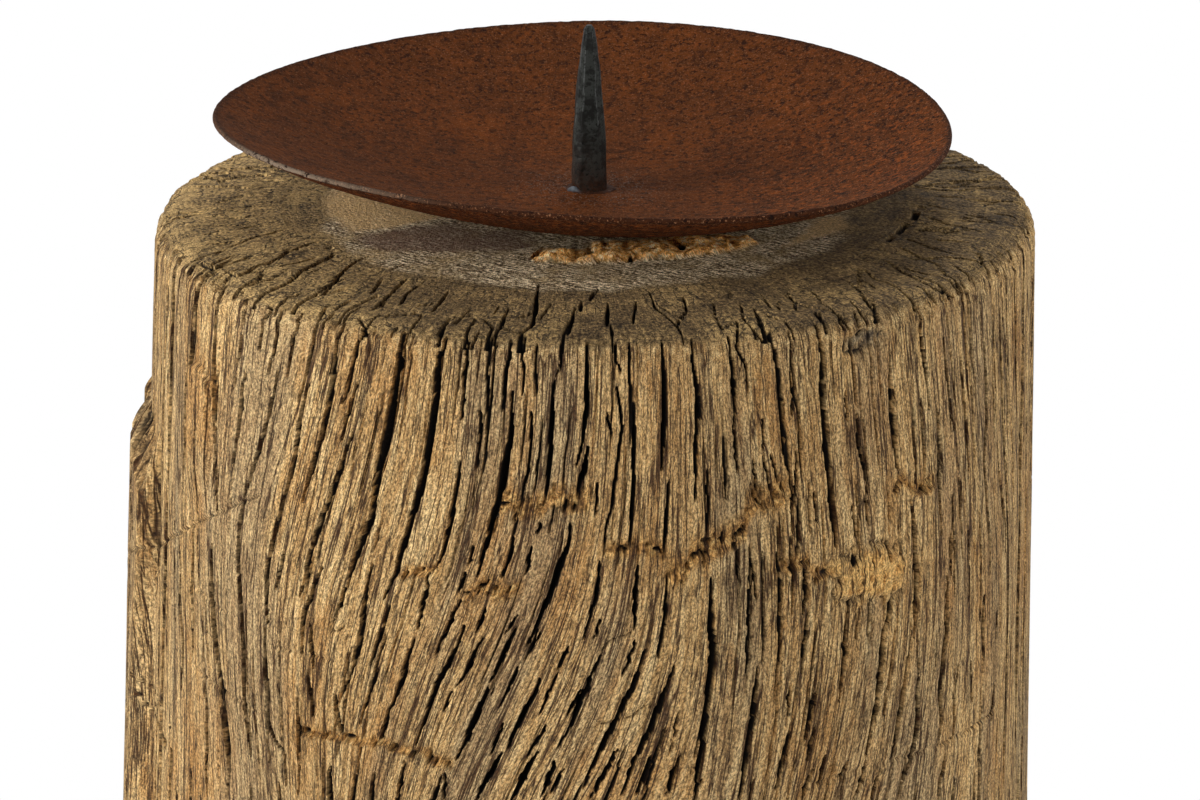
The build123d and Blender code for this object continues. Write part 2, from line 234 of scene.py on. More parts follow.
# Checks in the top: width, then x and y of each point
TOP_CHECKS: tuple[Trace, ...] = (
    (5, 199, 276, 214, 267, 231, 260),
    (3, 221, 285, 238, 276, 257, 268, 270, 265),
    (4, 268, 267, 290, 255, 318, 247),
    (4, 268, 291, 287, 284, 302, 274, 317, 267, 335, 260, 327, 250),
    (2, 289, 301, 304, 293),
    (4, 324, 295, 334, 286, 343, 276, 356, 267, 366, 262),
    (4, 360, 321, 373, 310, 388, 299, 405, 285),
    (3, 371, 297, 381, 284),
    (3, 401, 306, 407, 297, 420, 289),
    (4, 391, 275, 403, 270),
    (4, 441, 347, 446, 330, 457, 322, 470, 311),
    (4, 433, 313, 448, 297),
    (3, 410, 330, 423, 317),
    (4, 460, 358, 468, 347, 476, 338),
    (4, 485, 339, 493, 327),
    (3, 501, 325, 509, 311),
    (5, 522, 333, 532, 326, 536, 311, 538, 291),
    (5, 567, 343, 568, 334, 575, 311),
    (5, 580, 314, 582, 306),
    (5, 589, 305, 599, 294),
    (5, 607, 343, 607, 326, 608, 308),
    (3, 633, 324, 636, 305),
    (4, 678, 339, 677, 326, 655, 310, 650, 298),
    (3, 677, 325, 687, 313, 683, 301),
    (3, 738, 350, 737, 340, 721, 329, 715, 317, 714, 307),
    (3, 744, 319, 741, 307),
    (3, 760, 324, 755, 311),
    (3, 771, 310, 763, 299),
    (3.5, 796, 310, 795, 305, 789, 295),
    (3, 826, 305, 819, 299, 813, 294),
    (5, 815, 331, 821, 317, 820, 312),
    (6, 891, 343, 879, 331, 872, 317),
    (4, 849, 285, 860, 293, 869, 304),
    (3, 860, 289, 859, 276),
    (3, 864, 274, 877, 281, 891, 285, 904, 293),
    (3, 886, 265, 903, 273, 917, 279, 934, 286, 957, 300),
    (5, 886, 246, 896, 240, 910, 226, 921, 211),
    (3, 903, 252, 917, 258, 937, 266),
    (2.5, 908, 242, 938, 253),
    (2, 927, 221, 950, 228, 983, 233),
    (2, 929, 209, 960, 214),
    (3, 904, 188, 917, 192, 957, 194),
    (4, 979, 253, 983, 262),
    (4, 1000, 250, 1017, 261),
    (4, 954, 266, 961, 269),
    (5, 938, 310, 942, 321),
    (3, 236, 232, 254, 229, 273, 229),
    (3, 221, 205, 236, 200, 254, 199),
    (2.5, 234, 211, 268, 210),
    (2, 241, 221, 262, 219),
    (3, 212, 254, 225, 250),
    (2.5, 230, 248, 256, 241, 288, 235),
    (3, 215, 173, 260, 169),
)

# Torn fibre in the side: thickness, then x and y of each point
SCARS: tuple[Trace, ...] = (
    (26, 495, 512, 540, 507, 592, 500),
    (17, 465, 592, 519, 591),
    (12, 399, 571, 438, 572),
    (16, 603, 553, 667, 554),
    (32, 668, 572, 700, 560, 720, 545, 745, 525, 760, 510, 790, 500),
    (18, 775, 571, 835, 571),
    (18, 895, 487, 935, 486),
    (10, 300, 732, 340, 738, 380, 745, 420, 755, 452, 765),
)

# Thin lines scored across the grain: width, then x and y of each point
SCORES: tuple[Trace, ...] = (
    (3, 596, 726, 612, 722, 630, 718, 646, 706),
    (3, 603, 650, 610, 641, 632, 633),
    (3, 138, 556, 160, 545, 190, 527, 215, 515, 258, 497),
    (2, 274, 647, 302, 654, 336, 660),
    (1.5, 192, 584, 232, 617),
    (2, 194, 668, 227, 693, 260, 713),
    (2.5, 802, 789, 842, 775, 892, 760, 915, 755, 944, 743, 973, 728, 999, 705),
)

# Patches on the top, as closed outlines; the pale patches are painted pools of light where the lamps reach
# in under the dish, and the stain patch is the dish's painted shadow
CRUMB_STRIP: Trace = (535, 262, 580, 263, 620, 262, 700, 257, 740, 250, 755, 244, 745, 237, 700, 238,
                      620, 240, 605, 245, 590, 248, 533, 250)
# pools of light where the lamps reach in under the dish's rim, painted paler on the top
LIT_PATCHES: tuple[Trace, ...] = (
    (325, 200, 327, 213, 340, 225, 352, 232, 389, 228, 430, 220, 480, 200, 430, 185, 350, 180),
    (782, 248, 804, 234, 818, 217, 844, 215, 846, 229, 822, 236),
)
# the dish's shadow in front of it on the top, painted darker and reddish
DISH_SHADOW_PATCH: Trace = (355, 238, 380, 250, 440, 252, 520, 250, 540, 244, 520, 232, 440, 224, 389, 230)


class Body(Enum):
    """Bodies of the stand that move as one."""

    POST = "post"
    DISH = "dish"


class Slot(Enum):
    """Names of the stand's finishes."""

    TIMBER = "weathered_timber"
    SHEET = "rusted_sheet"
    FORGED = "forged_steel"
    WELD = "weld_metal"


class KnotKind(Enum):
    """Ways in which a knot shows in the side of the post."""

    PALE = "pale"
    RING = "ring"
    DARK = "dark"


@dataclass(frozen=True)
class Knot:
    """A knot at a pixel, with its size in pixels and how far it swells in millimetres."""

    kind: KnotKind
    x: float
    y: float
    width: float
    height: float
    swell: float


KNOTS: tuple[Knot, ...] = (
    Knot(KnotKind.PALE, 870, 571, 86, 62, 0.7),
    Knot(KnotKind.RING, 337, 625, 15, 15, 0.3),
    Knot(KnotKind.DARK, 865, 337, 46, 38, -0.5),
)


def linear(colour: Colour) -> tuple[float, float, float, float]:
    """Turns a screen colour of 0 to 255 into a shader colour.

    Args:
        colour: red, green and blue as they show on a screen.

    Returns:
        The linear colour with full alpha.
    """
    shares = [channel / 255 for channel in colour]
    values = [s / 12.92 if s <= 0.04045 else ((s + 0.055) / 1.055) ** 2.4 for s in shares]
    return (values[0], values[1], values[2], 1.0)


def points_of(trace: Trace) -> np.ndarray:
    """Returns the x, y points of a flat row of numbers as an array of pairs."""
    return np.array(trace, float).reshape(-1, 2)


def ease(value: np.ndarray) -> np.ndarray:
    """Returns a smooth step from 0 to 1 as the value goes from 0 to 1."""
    held = np.clip(value, 0.0, 1.0)
    return held * held * (3 - 2 * held)


def lattice_noise(seed: int, across: np.ndarray, along: np.ndarray, cell: tuple[float, float],
                  lap: float = 0.0, sharp: float = 1.0) -> np.ndarray:
    """Smooth seeded noise between about -1 and 1.

    Args:
        seed: number that fixes the noise.
        across: places across the grain.
        along: places along the grain.
        cell: size of one swell across and along.
        lap: length after which the noise repeats across, or 0.
        sharp: 1 for smooth swells across, more for flat strips with steps between them.

    Returns:
        The noise at each place.
    """
    rng = np.random.default_rng(seed)
    count = max(int(round(lap / cell[0])), 1) if lap else 0
    u = across / (lap / count) if lap else (across - across.min()) / cell[0]
    v = (along - along.min()) / cell[1]
    columns = count or int(u.max()) + 2
    rows = int(v.max()) + 2
    lattice = rng.uniform(-1, 1, (rows + 1, columns + 1))
    left = np.floor(u).astype(int)
    low = np.floor(v).astype(int)
    fu, fv = ease((u - left - 0.5) * sharp + 0.5), ease(v - low)
    right = (left + 1) % columns if lap else left + 1
    left = left % columns if lap else left
    bottom = lattice[low, left] * (1 - fu) + lattice[low, right] * fu
    top = lattice[low + 1, left] * (1 - fu) + lattice[low + 1, right] * fu
    return bottom * (1 - fv) + top * fv


def line_gap(x: np.ndarray, y: np.ndarray, line: np.ndarray) -> tuple[np.ndarray, np.ndarray]:
    """Distance of places from a bent line.

    Args:
        x: first coordinate of the places.
        y: second coordinate of the places.
        line: corners of the line.

    Returns:
        The distance of each place, and how far along the line its nearest point is, from 0 to 1.
    """
    steps = np.hypot(*np.diff(line, axis=0).T)
    starts = np.concatenate([[0.0], np.cumsum(steps)])
    gap = np.full(x.shape, np.inf)
    share = np.zeros(x.shape)
    for index, step in enumerate(steps):
        (x0, y0), (x1, y1) = line[index], line[index + 1]
        t = np.clip(((x - x0) * (x1 - x0) + (y - y0) * (y1 - y0)) / max(step, 1e-9) ** 2, 0, 1)
        here = np.hypot(x - x0 - t * (x1 - x0), y - y0 - t * (y1 - y0))
        share = np.where(here < gap, (starts[index] + t * step) / starts[-1], share)
        gap = np.minimum(gap, here)
    return gap, share


def inside_gap(x: np.ndarray, y: np.ndarray, outline: np.ndarray) -> np.ndarray:
    """Distance inside a closed outline, negative outside.

    Args:
        x: first coordinate of the places.
        y: second coordinate of the places.
        outline: corners of the outline.

    Returns:
        The signed distance of each place from the outline.
    """
    closed = np.vstack([outline, outline[:1]])
    gap, _ = line_gap(x, y, closed)
    within = np.zeros(x.shape, bool)
    for (x0, y0), (x1, y1) in zip(closed[:-1], closed[1:]):
        crosses = (y0 > y) != (y1 > y)
        within ^= crosses & (x < x0 + (y - y0) * (x1 - x0) / (y1 - y0 if y1 != y0 else 1e-9))
    return np.where(within, gap, -gap)


def band_faces(rows: int, columns: int, first: int = 0) -> np.ndarray:
    """Quads of a band that closes round its columns, facing out where rows go up.

    Args:
        rows: number of rings of points.
        columns: number of points in each ring.
        first: index of the first point.

    Returns:
        Four point indices for each face.
    """
    row, column = np.meshgrid(np.arange(rows - 1), np.arange(columns), indexing="ij")
    after = (column + 1) % columns
    here, above = first + row * columns, first + (row + 1) * columns
    return np.stack([here + column, here + after, above + after, above + column], -1).reshape(-1, 4)


def fan_faces(ring: int, columns: int, pole: int, upwards: bool) -> np.ndarray:
    """Triangles that close a ring of points with a pole.

    Args:
        ring: index of the ring's first point.
        columns: number of points in the ring.
        pole: index of the pole.
        upwards: whether the faces look up.

    Returns:
        Three point indices for each face.
    """
    column = np.arange(columns)
    near, after = ring + column, ring + (column + 1) % columns
    tip = np.full(columns, pole)
    return np.stack([near, after, tip] if upwards else [after, near, tip], -1)


def make_piece(name: str, points: np.ndarray, faces: list[np.ndarray], marks: dict[str, np.ndarray],
               crease: float) -> bpy.types.Object:
    """Makes a mesh object from points in millimetres.

    Args:
        name: name of the piece.
        points: one row of three coordinates for each point.
        faces: arrays of point indices, one row for each face.
        marks: named values of each point that its finish reads, single numbers or vectors.
        crease: angle in degrees above which an edge stays sharp.

    Returns:
        The new object, in the scene.
    """
    mesh = bpy.data.meshes.new(name)
    mesh.vertices.add(len(points))
    mesh.vertices.foreach_set("co", (points * MM).astype(np.float32).ravel())
    corners = np.concatenate([part.ravel() for part in faces])
    sizes = np.concatenate([np.full(len(part), part.shape[1]) for part in faces])
    mesh.loops.add(len(corners))
    mesh.loops.foreach_set("vertex_index", corners.astype(np.int32))
    mesh.polygons.add(len(sizes))
    mesh.polygons.foreach_set("loop_start", (np.cumsum(sizes) - sizes).astype(np.int32))
    mesh.update(calc_edges=True)
    mesh.polygons.foreach_set("use_smooth", np.ones(len(sizes), bool))
    for mark, values in marks.items():
        kind = "FLOAT_VECTOR" if values.ndim == 2 else "FLOAT"
        layer = mesh.attributes.new(mark, kind, "POINT")
        layer.data.foreach_set("vector" if values.ndim == 2 else "value", values.astype(np.float32).ravel())
    mesh.validate()
    mesh.set_sharp_from_angle(angle=math.radians(crease))
    piece = bpy.data.objects.new(name, mesh)
    bpy.context.scene.collection.objects.link(piece)
    return piece


def settle(piece: bpy.types.Object, body: Body, node: str, finish: bpy.types.Material) -> None:
    """Dresses a piece and puts it in the place of its CAD node.

    Args:
        piece: the dressed piece.
        body: body that it moves with.
        node: CAD node that it stands for.
        finish: material of the piece.
    """
    piece.data.materials.append(finish)
    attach(piece, body.value)
    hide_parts(node)
    LOG.info("%s: %d faces on body %s", piece.name, len(piece.data.polygons), body.value)


class NodeSheet:
    """A node tree that is filled line by line."""

    def __init__(self, tree: bpy.types.NodeTree) -> None:
        """Keeps the tree that is filled."""
        self.tree = tree

    def node(self, kind: str, **settings: object) -> bpy.types.Node:
        """Adds a node.

        Args:
            kind: Blender's name for the node.
            settings: properties of the node.

        Returns:
            The new node.
        """
        made = self.tree.nodes.new(kind)
        for name, value in settings.items():
            setattr(made, name, value)
        return made

    def feed(self, socket: bpy.types.NodeSocket, value: object) -> None:
        """Links a socket to an input, or sets a plain value on it.

        Args:
            socket: input that is fed.
            value: an output socket, a number, a vector or a colour.
        """
        if isinstance(value, bpy.types.NodeSocket):
            self.tree.links.new(value, socket)
        else:
            socket.default_value = value

    def mark(self, name: str, vector: bool = False) -> bpy.types.NodeSocket:
        """Returns a value that the mesh carries, as a number or a vector."""
        made = self.node("ShaderNodeAttribute", attribute_name=name)
        return made.outputs["Vector" if vector else "Fac"]

    def stretch(self, vector: bpy.types.NodeSocket, factors: Factors) -> bpy.types.NodeSocket:
        """Returns a vector times three factors."""
        made = self.node("ShaderNodeVectorMath", operation="MULTIPLY")
        self.feed(made.inputs[0], vector)
        self.feed(made.inputs[1], factors)
        return made.outputs[0]

    def turned(self, vector: bpy.types.NodeSocket, angle: float, factors: Factors) -> bpy.types.NodeSocket:
        """Turns a vector about the upright axis, then stretches it.

        Args:
            vector: coordinates.
            angle: turn in radians.
            factors: three factors of the turned coordinates.

        Returns:
            The turned and stretched coordinates.
        """
        made = self.node("ShaderNodeVectorRotate", rotation_type="Z_AXIS")
        self.feed(made.inputs["Vector"], vector)
        self.feed(made.inputs["Angle"], angle)
        return self.stretch(made.outputs[0], factors)

    def noise(self, vector: bpy.types.NodeSocket, scale: object, detail: float = 4.0,
              roughness: float = 0.55) -> bpy.types.NodeSocket:
        """Adds cloudy noise.

        Args:
            vector: coordinates.
            scale: swells in each unit, as a number or a socket.
            detail: number of finer layers.
            roughness: weight of the finer layers.

        Returns:
            The noise, mostly between 0.3 and 0.7.
        """
        made = self.node("ShaderNodeTexNoise")
        self.feed(made.inputs["Vector"], vector)
        self.feed(made.inputs["Scale"], scale)
        self.feed(made.inputs["Detail"], detail)
        self.feed(made.inputs["Roughness"], roughness)
        return made.outputs[0]

    def level(self, value: bpy.types.NodeSocket, start: float, end: float, low: float = 0.0,
              high: float = 1.0) -> bpy.types.NodeSocket:
        """Spreads a range of a value smoothly over another range.

        Args:
            value: socket that is read.
            start: value that gives low.
            end: value that gives high.
            low: result at the start.
            high: result at the end.

        Returns:
            The spread value, held between low and high.
        """
        made = self.node("ShaderNodeMapRange", interpolation_type="SMOOTHSTEP")
        self.feed(made.inputs["Value"], value)
        self.feed(made.inputs["From Min"], start)
        self.feed(made.inputs["From Max"], end)
        self.feed(made.inputs["To Min"], low)
        self.feed(made.inputs["To Max"], high)
        return made.outputs["Result"]

    def sum(self, operation: str, first: object, second: object) -> bpy.types.NodeSocket:
        """Returns the result of an arithmetic operation on two values."""
        made = self.node("ShaderNodeMath", operation=operation)
        self.feed(made.inputs[0], first)
        self.feed(made.inputs[1], second)
        return made.outputs[0]

    def wander(self, vector: bpy.types.NodeSocket, place: bpy.types.NodeSocket, scale: float,
               reach: float) -> bpy.types.NodeSocket:
        """Bends coordinates a little.

        Args:
            vector: coordinates that are bent.
            place: coordinates of the noise that bends them.
            scale: swells of that noise in each unit.
            reach: how far they are bent, about five times over.

        Returns:
            The bent coordinates.
        """
        cloud = self.node("ShaderNodeTexNoise")
        self.feed(cloud.inputs["Vector"], place)
        self.feed(cloud.inputs["Scale"], scale)
        bent = self.node("ShaderNodeVectorMath", operation="MULTIPLY_ADD")
        self.feed(bent.inputs[0], cloud.outputs["Color"])
        self.feed(bent.inputs[1], (reach, reach, reach))
        self.feed(bent.inputs[2], vector)
        return bent.outputs[0]

    def cracks(self, vector: bpy.types.NodeSocket, factors: Factors, place: bpy.types.NodeSocket,
               width: float) -> bpy.types.NodeSocket:
        """Thin wandering lines round small blocks.

        Args:
            vector: coordinates.
            factors: how closely the blocks lie along each coordinate.
            place: coordinates of the noise that makes the lines wander.
            width: width of a line, as a share of a block.

        Returns:
            A mask that is 1 in the lines.
        """
        made = self.node("ShaderNodeTexVoronoi", feature="DISTANCE_TO_EDGE")
        bent = self.wander(self.stretch(vector, factors), place, CRACK_BEND_SCALE, CRACK_BEND_REACH)
        self.feed(made.inputs["Vector"], bent)
        self.feed(made.inputs["Scale"], 1.0)
        return self.level(made.outputs["Distance"], width, 0.0)

    def ramp(self, value: bpy.types.NodeSocket, *stops: tuple[float, Colour]) -> bpy.types.NodeSocket:
        """Gives a value colours.

        Args:
            value: socket that is read.
            stops: places between 0 and 1 with their screen colours.

        Returns:
            The colour.
        """
        made = self.node("ShaderNodeValToRGB")
        elements = made.color_ramp.elements
        while len(elements) < len(stops):
            elements.new(0.5)
        for element, (place, colour) in zip(elements, stops):
            element.position = place
            element.color = linear(colour)
        self.feed(made.inputs[0], value)
        return made.outputs[0]

    def mix(self, share: object, first: object, second: object, blend: str = "MIX") -> bpy.types.NodeSocket:
        """Mixes two colours.

        Args:
            share: how much of the second shows.
            first: a colour or a colour socket.
            second: a colour or a colour socket.
            blend: Blender's name for the kind of mix.

        Returns:
            The mixed colour.
        """
        made = self.node("ShaderNodeMix", data_type="RGBA", blend_type=blend)
        self.feed(made.inputs[0], share)
        self.feed(made.inputs[6], first)
        self.feed(made.inputs[7], second)
        return made.outputs[2]

    def bump(self, height: bpy.types.NodeSocket, reach: float, strength: float,
             normal: object = None) -> bpy.types.NodeSocket:
        """Turns a height into a bent normal.

        Args:
            height: height between about 0 and 1.
            reach: height in millimetres that 1 stands for.
            strength: share of the bend that is used.
            normal: normal that is already bent, or none.

        Returns:
            The bent normal.
        """
        made = self.node("ShaderNodeBump")
        self.feed(made.inputs["Strength"], strength)
        self.feed(made.inputs["Distance"], reach * MM)
        self.feed(made.inputs["Height"], height)
        if normal is not None:
            self.feed(made.inputs["Normal"], normal)
        return made.outputs["Normal"]

    def place(self) -> bpy.types.NodeSocket:
        """Returns the coordinates of the piece's own mesh."""
        return self.node("ShaderNodeTexCoord").outputs["Object"]


def new_material(name: str) -> tuple[bpy.types.Material, NodeSheet, bpy.types.Node]:
    """Starts a material.

    Args:
        name: name of the finish.

    Returns:
        The material, the sheet of its nodes and its surface shader.
    """
    material = bpy.data.materials.new(name)
    material.use_nodes = True
    return material, NodeSheet(material.node_tree), material.node_tree.nodes["Principled BSDF"]


def rust_speckle_group() -> bpy.types.NodeTree:
    """Builds the shared effect of rusted metal, once.

    Returns:
        A node group that gives masks for dark pits, orange bloom and pale flecks, and a height.
    """
    name = "Rust speckle"
    if name in bpy.data.node_groups:
        return bpy.data.node_groups[name]
    group = bpy.data.node_groups.new(name, "ShaderNodeTree")
    group.interface.new_socket(name="Place", in_out="INPUT", socket_type="NodeSocketVector")
    group.interface.new_socket(name="Scale", in_out="INPUT", socket_type="NodeSocketFloat")
    for output in ("Pits", "Bloom", "Flecks", "Height"):
        group.interface.new_socket(name=output, in_out="OUTPUT", socket_type="NodeSocketFloat")
    sheet = NodeSheet(group)
    source = sheet.node("NodeGroupInput")
    place, scale = source.outputs["Place"], source.outputs["Scale"]
    grit = sheet.noise(place, scale, 5.0, 0.62)
    coarse = sheet.noise(place, sheet.sum("MULTIPLY", scale, 0.31), 4.0, 0.6)
    broad = sheet.noise(place, sheet.sum("MULTIPLY", scale, 0.05), 3.0, 0.5)
    fine = sheet.noise(place, sheet.sum("MULTIPLY", scale, 2.3), 3.0, 0.6)
    target = sheet.node("NodeGroupOutput")
    deep = sheet.sum("MULTIPLY", sheet.level(coarse, 0.42, 0.32), 0.6)
    pits = sheet.sum("MAXIMUM", sheet.level(grit, 0.46, 0.36), deep)
    bloom = sheet.sum("MULTIPLY", sheet.level(broad, 0.42, 0.66), sheet.level(grit, 0.36, 0.60))
    sheet.feed(target.inputs["Pits"], pits)
    sheet.feed(target.inputs["Bloom"], bloom)
    sheet.feed(target.inputs["Flecks"], sheet.level(fine, 0.56, 0.68))
    sheet.feed(target.inputs["Height"], sheet.sum("ADD", grit, sheet.sum("MULTIPLY", fine, 0.5)))
    return group


def speckle(sheet: NodeSheet, scale: float) -> bpy.types.Node:
    """Places the rust speckle group in a material.

    Args:
        sheet: nodes of the material.
        scale: swells of the grit in each metre.

    Returns:
        The placed group.
    """
    made = sheet.node("ShaderNodeGroup")
    made.node_tree = rust_speckle_group()
    sheet.feed(made.inputs["Place"], sheet.place())
    sheet.feed(made.inputs["Scale"], scale)
    return made


@dataclass(frozen=True)
class WeatheredTimber:
    """Bare timber, bleached tan on the side and grey on the sawn top, with painted shade in its checks."""

    deep: Colour = (122, 80, 35)
    tan: Colour = (182, 146, 94)
    pale: Colour = (222, 192, 138)
    warm: Colour = (162, 114, 58)
    grey: Colour = (136, 119, 92)
    line: Colour = (56, 33, 13)
    # painted shade in the checks, crazing and other cuts; the dark knot also uses it as its darkest tone
    check_shade: Colour = (22, 15, 9)
    scar_dark: Colour = (82, 52, 23)
    scar: Colour = (168, 122, 64)
    scar_pale: Colour = (212, 172, 108)
    knot: Colour = (208, 164, 98)
    knot_dark: Colour = (82, 70, 56)
    end_dark: Colour = (40, 30, 17)
    end: Colour = (118, 95, 62)
    end_pale: Colour = (186, 154, 100)
    # painted light: the paler top towards the left, where the light from the left falls
    left_lit_end: Colour = (198, 164, 108)
    seat_dark: Colour = (58, 44, 27)
    seat: Colour = (156, 130, 94)
    seat_pale: Colour = (244, 224, 186)
    # painted pools of light on the top under the dish's rim
    patch: Colour = (206, 168, 114)
    # painted shadow of the dish on the top
    dish_shadow: Colour = (96, 68, 54)
    crumb_dark: Colour = (132, 72, 26)
    crumb: Colour = (255, 186, 96)
    crumb_pale: Colour = (252, 228, 180)
    # painted shade on the broken top of the flake
    flake: Colour = (92, 72, 48)
    wave_scale: float = 190.0
    wave_reach: float = 0.0015
    broad_grain: Factors = (60, 60, 9)
    warm_grain: Factors = (85, 85, 30)
    streak_grain: Factors = (900, 900, 45)
    dash_grain: Factors = (1300, 1300, 90)
    fibre_grain: Factors = (2600, 2600, 300)
    thread_grain: Factors = (4200, 4200, 520)
    speck_grain: Factors = (3000, 3000, 1800)
    wide_hair: Factors = (210, 210, 8)
    fine_hair: Factors = (640, 640, 22)
    ring_grain: Factors = (40, 40, 1500)
    ray_grain: Factors = (1900, 1900, 110)
    block_grain: Factors = (210, 210, 130)
    hatch_grain: Factors = (300, 2400, 300)
    hatch_turn: float = math.radians(38)
    grit_scale: float = 1400.0
    crumble_scale: float = 620.0
    cloud_scale: float = 90.0
    relief: float = 0.6
    relief_share: float = 0.9
    roughness: float = 0.86
    gloss: float = 0.22

    def hairlines(self, sheet: NodeSheet, grain: bpy.types.NodeSocket, factors: Factors,
                  width: float) -> bpy.types.NodeSocket:
        """Thin lines that run with the grain.

        Args:
            sheet: nodes of the material.
            grain: coordinates of the grain.
            factors: how closely the lines lie across and along the grain.
            width: how wide a line is, as a share of the swells between the lines.

        Returns:
            A mask that is 1 in the middle of a line.
        """
        swell = sheet.noise(sheet.stretch(grain, factors), 1.0, 4.0, 0.5)
        away = sheet.sum("ABSOLUTE", sheet.sum("SUBTRACT", swell, 0.5), 0.0)
        return sheet.level(away, width, 0.0)

    def make(self) -> bpy.types.Material:
        """Returns the timber's material."""
        material, sheet, surface = new_material("weathered timber")
        grain = sheet.mark("grain", vector=True)
        place = sheet.place()
        broad = sheet.noise(sheet.stretch(grain, self.broad_grain), 1.0, 3.0)
        warm = sheet.noise(sheet.stretch(grain, self.warm_grain), 1.0, 4.0)
        wavy = sheet.wander(grain, place, self.wave_scale, self.wave_reach)
        streak = sheet.noise(sheet.stretch(wavy, self.streak_grain), 1.0, 5.0, 0.62)
        dash = sheet.noise(sheet.stretch(wavy, self.dash_grain), 1.0, 2.0, 0.5)
        fibre = sheet.noise(sheet.stretch(wavy, self.fibre_grain), 1.0, 4.0, 0.62)
        thread = sheet.noise(sheet.stretch(wavy, self.thread_grain), 1.0, 3.0, 0.6)
        grit = sheet.noise(place, self.grit_scale, 4.0, 0.65)
        speck = sheet.noise(sheet.stretch(wavy, self.speck_grain), 1.0, 3.0, 0.6)
        crumble = sheet.noise(place, self.crumble_scale, 5.0, 0.65)
        hair = sheet.sum("MAXIMUM", self.hairlines(sheet, grain, self.wide_hair, 0.016),
                         self.hairlines(sheet, grain, self.fine_hair, 0.026))

        wood = sheet.ramp(streak, (0.20, self.deep), (0.48, self.tan), (0.76, self.pale))
        wood = sheet.mix(sheet.level(warm, 0.48, 0.68, 0.0, 0.6), wood, linear(self.warm))
        wood = sheet.mix(sheet.level(broad, 0.47, 0.64, 0.0, 0.5), wood, linear(self.grey))
        wood = sheet.mix(sheet.level(fibre, 0.46, 0.37, 0.0, 0.6), wood, linear(self.line))
        wood = sheet.mix(sheet.level(fibre, 0.54, 0.64, 0.0, 0.4), wood, linear(self.pale))
        wood = sheet.mix(sheet.level(thread, 0.45, 0.36, 0.0, 0.7), wood, linear(self.line))
        wood = sheet.mix(sheet.level(dash, 0.38, 0.32, 0.0, 0.6), wood, linear(self.line))
        torn = sheet.ramp(crumble, (0.36, self.scar_dark), (0.5, self.scar), (0.64, self.scar_pale))
        fray = sheet.ramp(crumble, (0.38, self.scar_dark), (0.5, self.tan), (0.62, self.pale))
        frayed = sheet.sum("MULTIPLY", sheet.mark("rim"), sheet.level(crumble, 0.40, 0.56, 0.15, 0.65))
        wood = sheet.mix(frayed, wood, fray)
        # paint shade on the flake's broken top
        wood = sheet.mix(sheet.mark("flake"), wood, linear(self.flake))
        wood = sheet.mix(sheet.sum("MULTIPLY", sheet.mark("scar"), 0.85), wood, torn)
        gnarl = sheet.ramp(crumble, (0.38, self.scar), (0.5, self.knot), (0.62, self.scar_pale))
        wood = sheet.mix(sheet.mark("knot"), wood, gnarl)

        rings = sheet.noise(sheet.stretch(grain, self.ring_grain), 1.0, 4.0, 0.6)
        rays = sheet.noise(sheet.stretch(grain, self.ray_grain), 1.0, 3.0, 0.6)
        cloud = sheet.noise(place, self.cloud_scale, 4.0, 0.6)
        cut_end = sheet.sum("ADD", sheet.sum("MULTIPLY", rings, 0.14), sheet.sum("MULTIPLY", rays, 0.14))
        cut_end = sheet.sum("ADD", cut_end, sheet.sum("MULTIPLY", grit, 0.42))
        cut_end = sheet.sum("ADD", cut_end, sheet.sum("MULTIPLY", cloud, 0.30))
        end = sheet.ramp(cut_end, (0.41, self.end_dark), (0.5, self.end), (0.6, self.end_pale))
        # painted light from the left on the sawn top
        left_lit = sheet.sum("MULTIPLY", sheet.mark("painted_left_light"), sheet.level(cut_end, 0.42, 0.54))
        end = sheet.mix(left_lit, end, linear(self.left_lit_end))
        blocks = sheet.cracks(grain, self.block_grain, place, 0.06)
        crazed = sheet.sum("MULTIPLY", blocks, sheet.level(cloud, 0.36, 0.60))
        crazed = sheet.sum("MULTIPLY", crazed, sheet.level(sheet.mark("seat"), 0.6, 0.0))
        # painted shade in the fine crazing of the top
        end = sheet.mix(sheet.sum("MULTIPLY", crazed, 0.85), end, linear(self.check_shade))
        hatch = sheet.noise(sheet.turned(place, self.hatch_turn, self.hatch_grain), 1.0, 3.0, 0.6)
        milling = sheet.sum("ADD", sheet.sum("MULTIPLY", hatch, 0.5), sheet.sum("MULTIPLY", grit, 0.5))
        seat = sheet.ramp(milling, (0.44, self.seat_dark), (0.5, self.seat), (0.56, self.seat_pale))
        seat = sheet.mix(sheet.level(cloud, 0.44, 0.62, 0.0, 0.6), seat, end)
        end = sheet.mix(sheet.mark("seat"), end, seat)
        # paint the pools of light under the dish's rim
        end = sheet.mix(sheet.mark("patch"), end, linear(self.patch))
        # paint the dish's shadow on the top
        end = sheet.mix(sheet.mark("dish_shadow"), end, linear(self.dish_shadow))
        crumbs = sheet.ramp(crumble, (0.36, self.crumb_dark), (0.5, self.crumb), (0.64, self.crumb_pale))
        end = sheet.mix(sheet.mark("crumb"), end, crumbs)
        wood = sheet.mix(hair, wood, linear(self.line))
        wood = sheet.mix(sheet.mark("top"), wood, end)
        burr = sheet.ramp(crumble, (0.40, self.check_shade), (0.5, self.knot_dark), (0.64, self.grey))
        wood = sheet.mix(sheet.mark("dark_knot"), wood, burr)
        wood = sheet.mix(sheet.level(grit, 0.44, 0.30, 0.0, 0.5), wood, linear(self.line))
        wood = sheet.mix(1.0, wood, sheet.level(speck, 0.36, 0.64, 0.52, 1.5), "MULTIPLY")
        # painted shade in the checks and cuts, deeper cuts darker
        wood = sheet.mix(sheet.level(sheet.mark("check_shade"), 0.10, 0.40), wood, linear(self.check_shade))

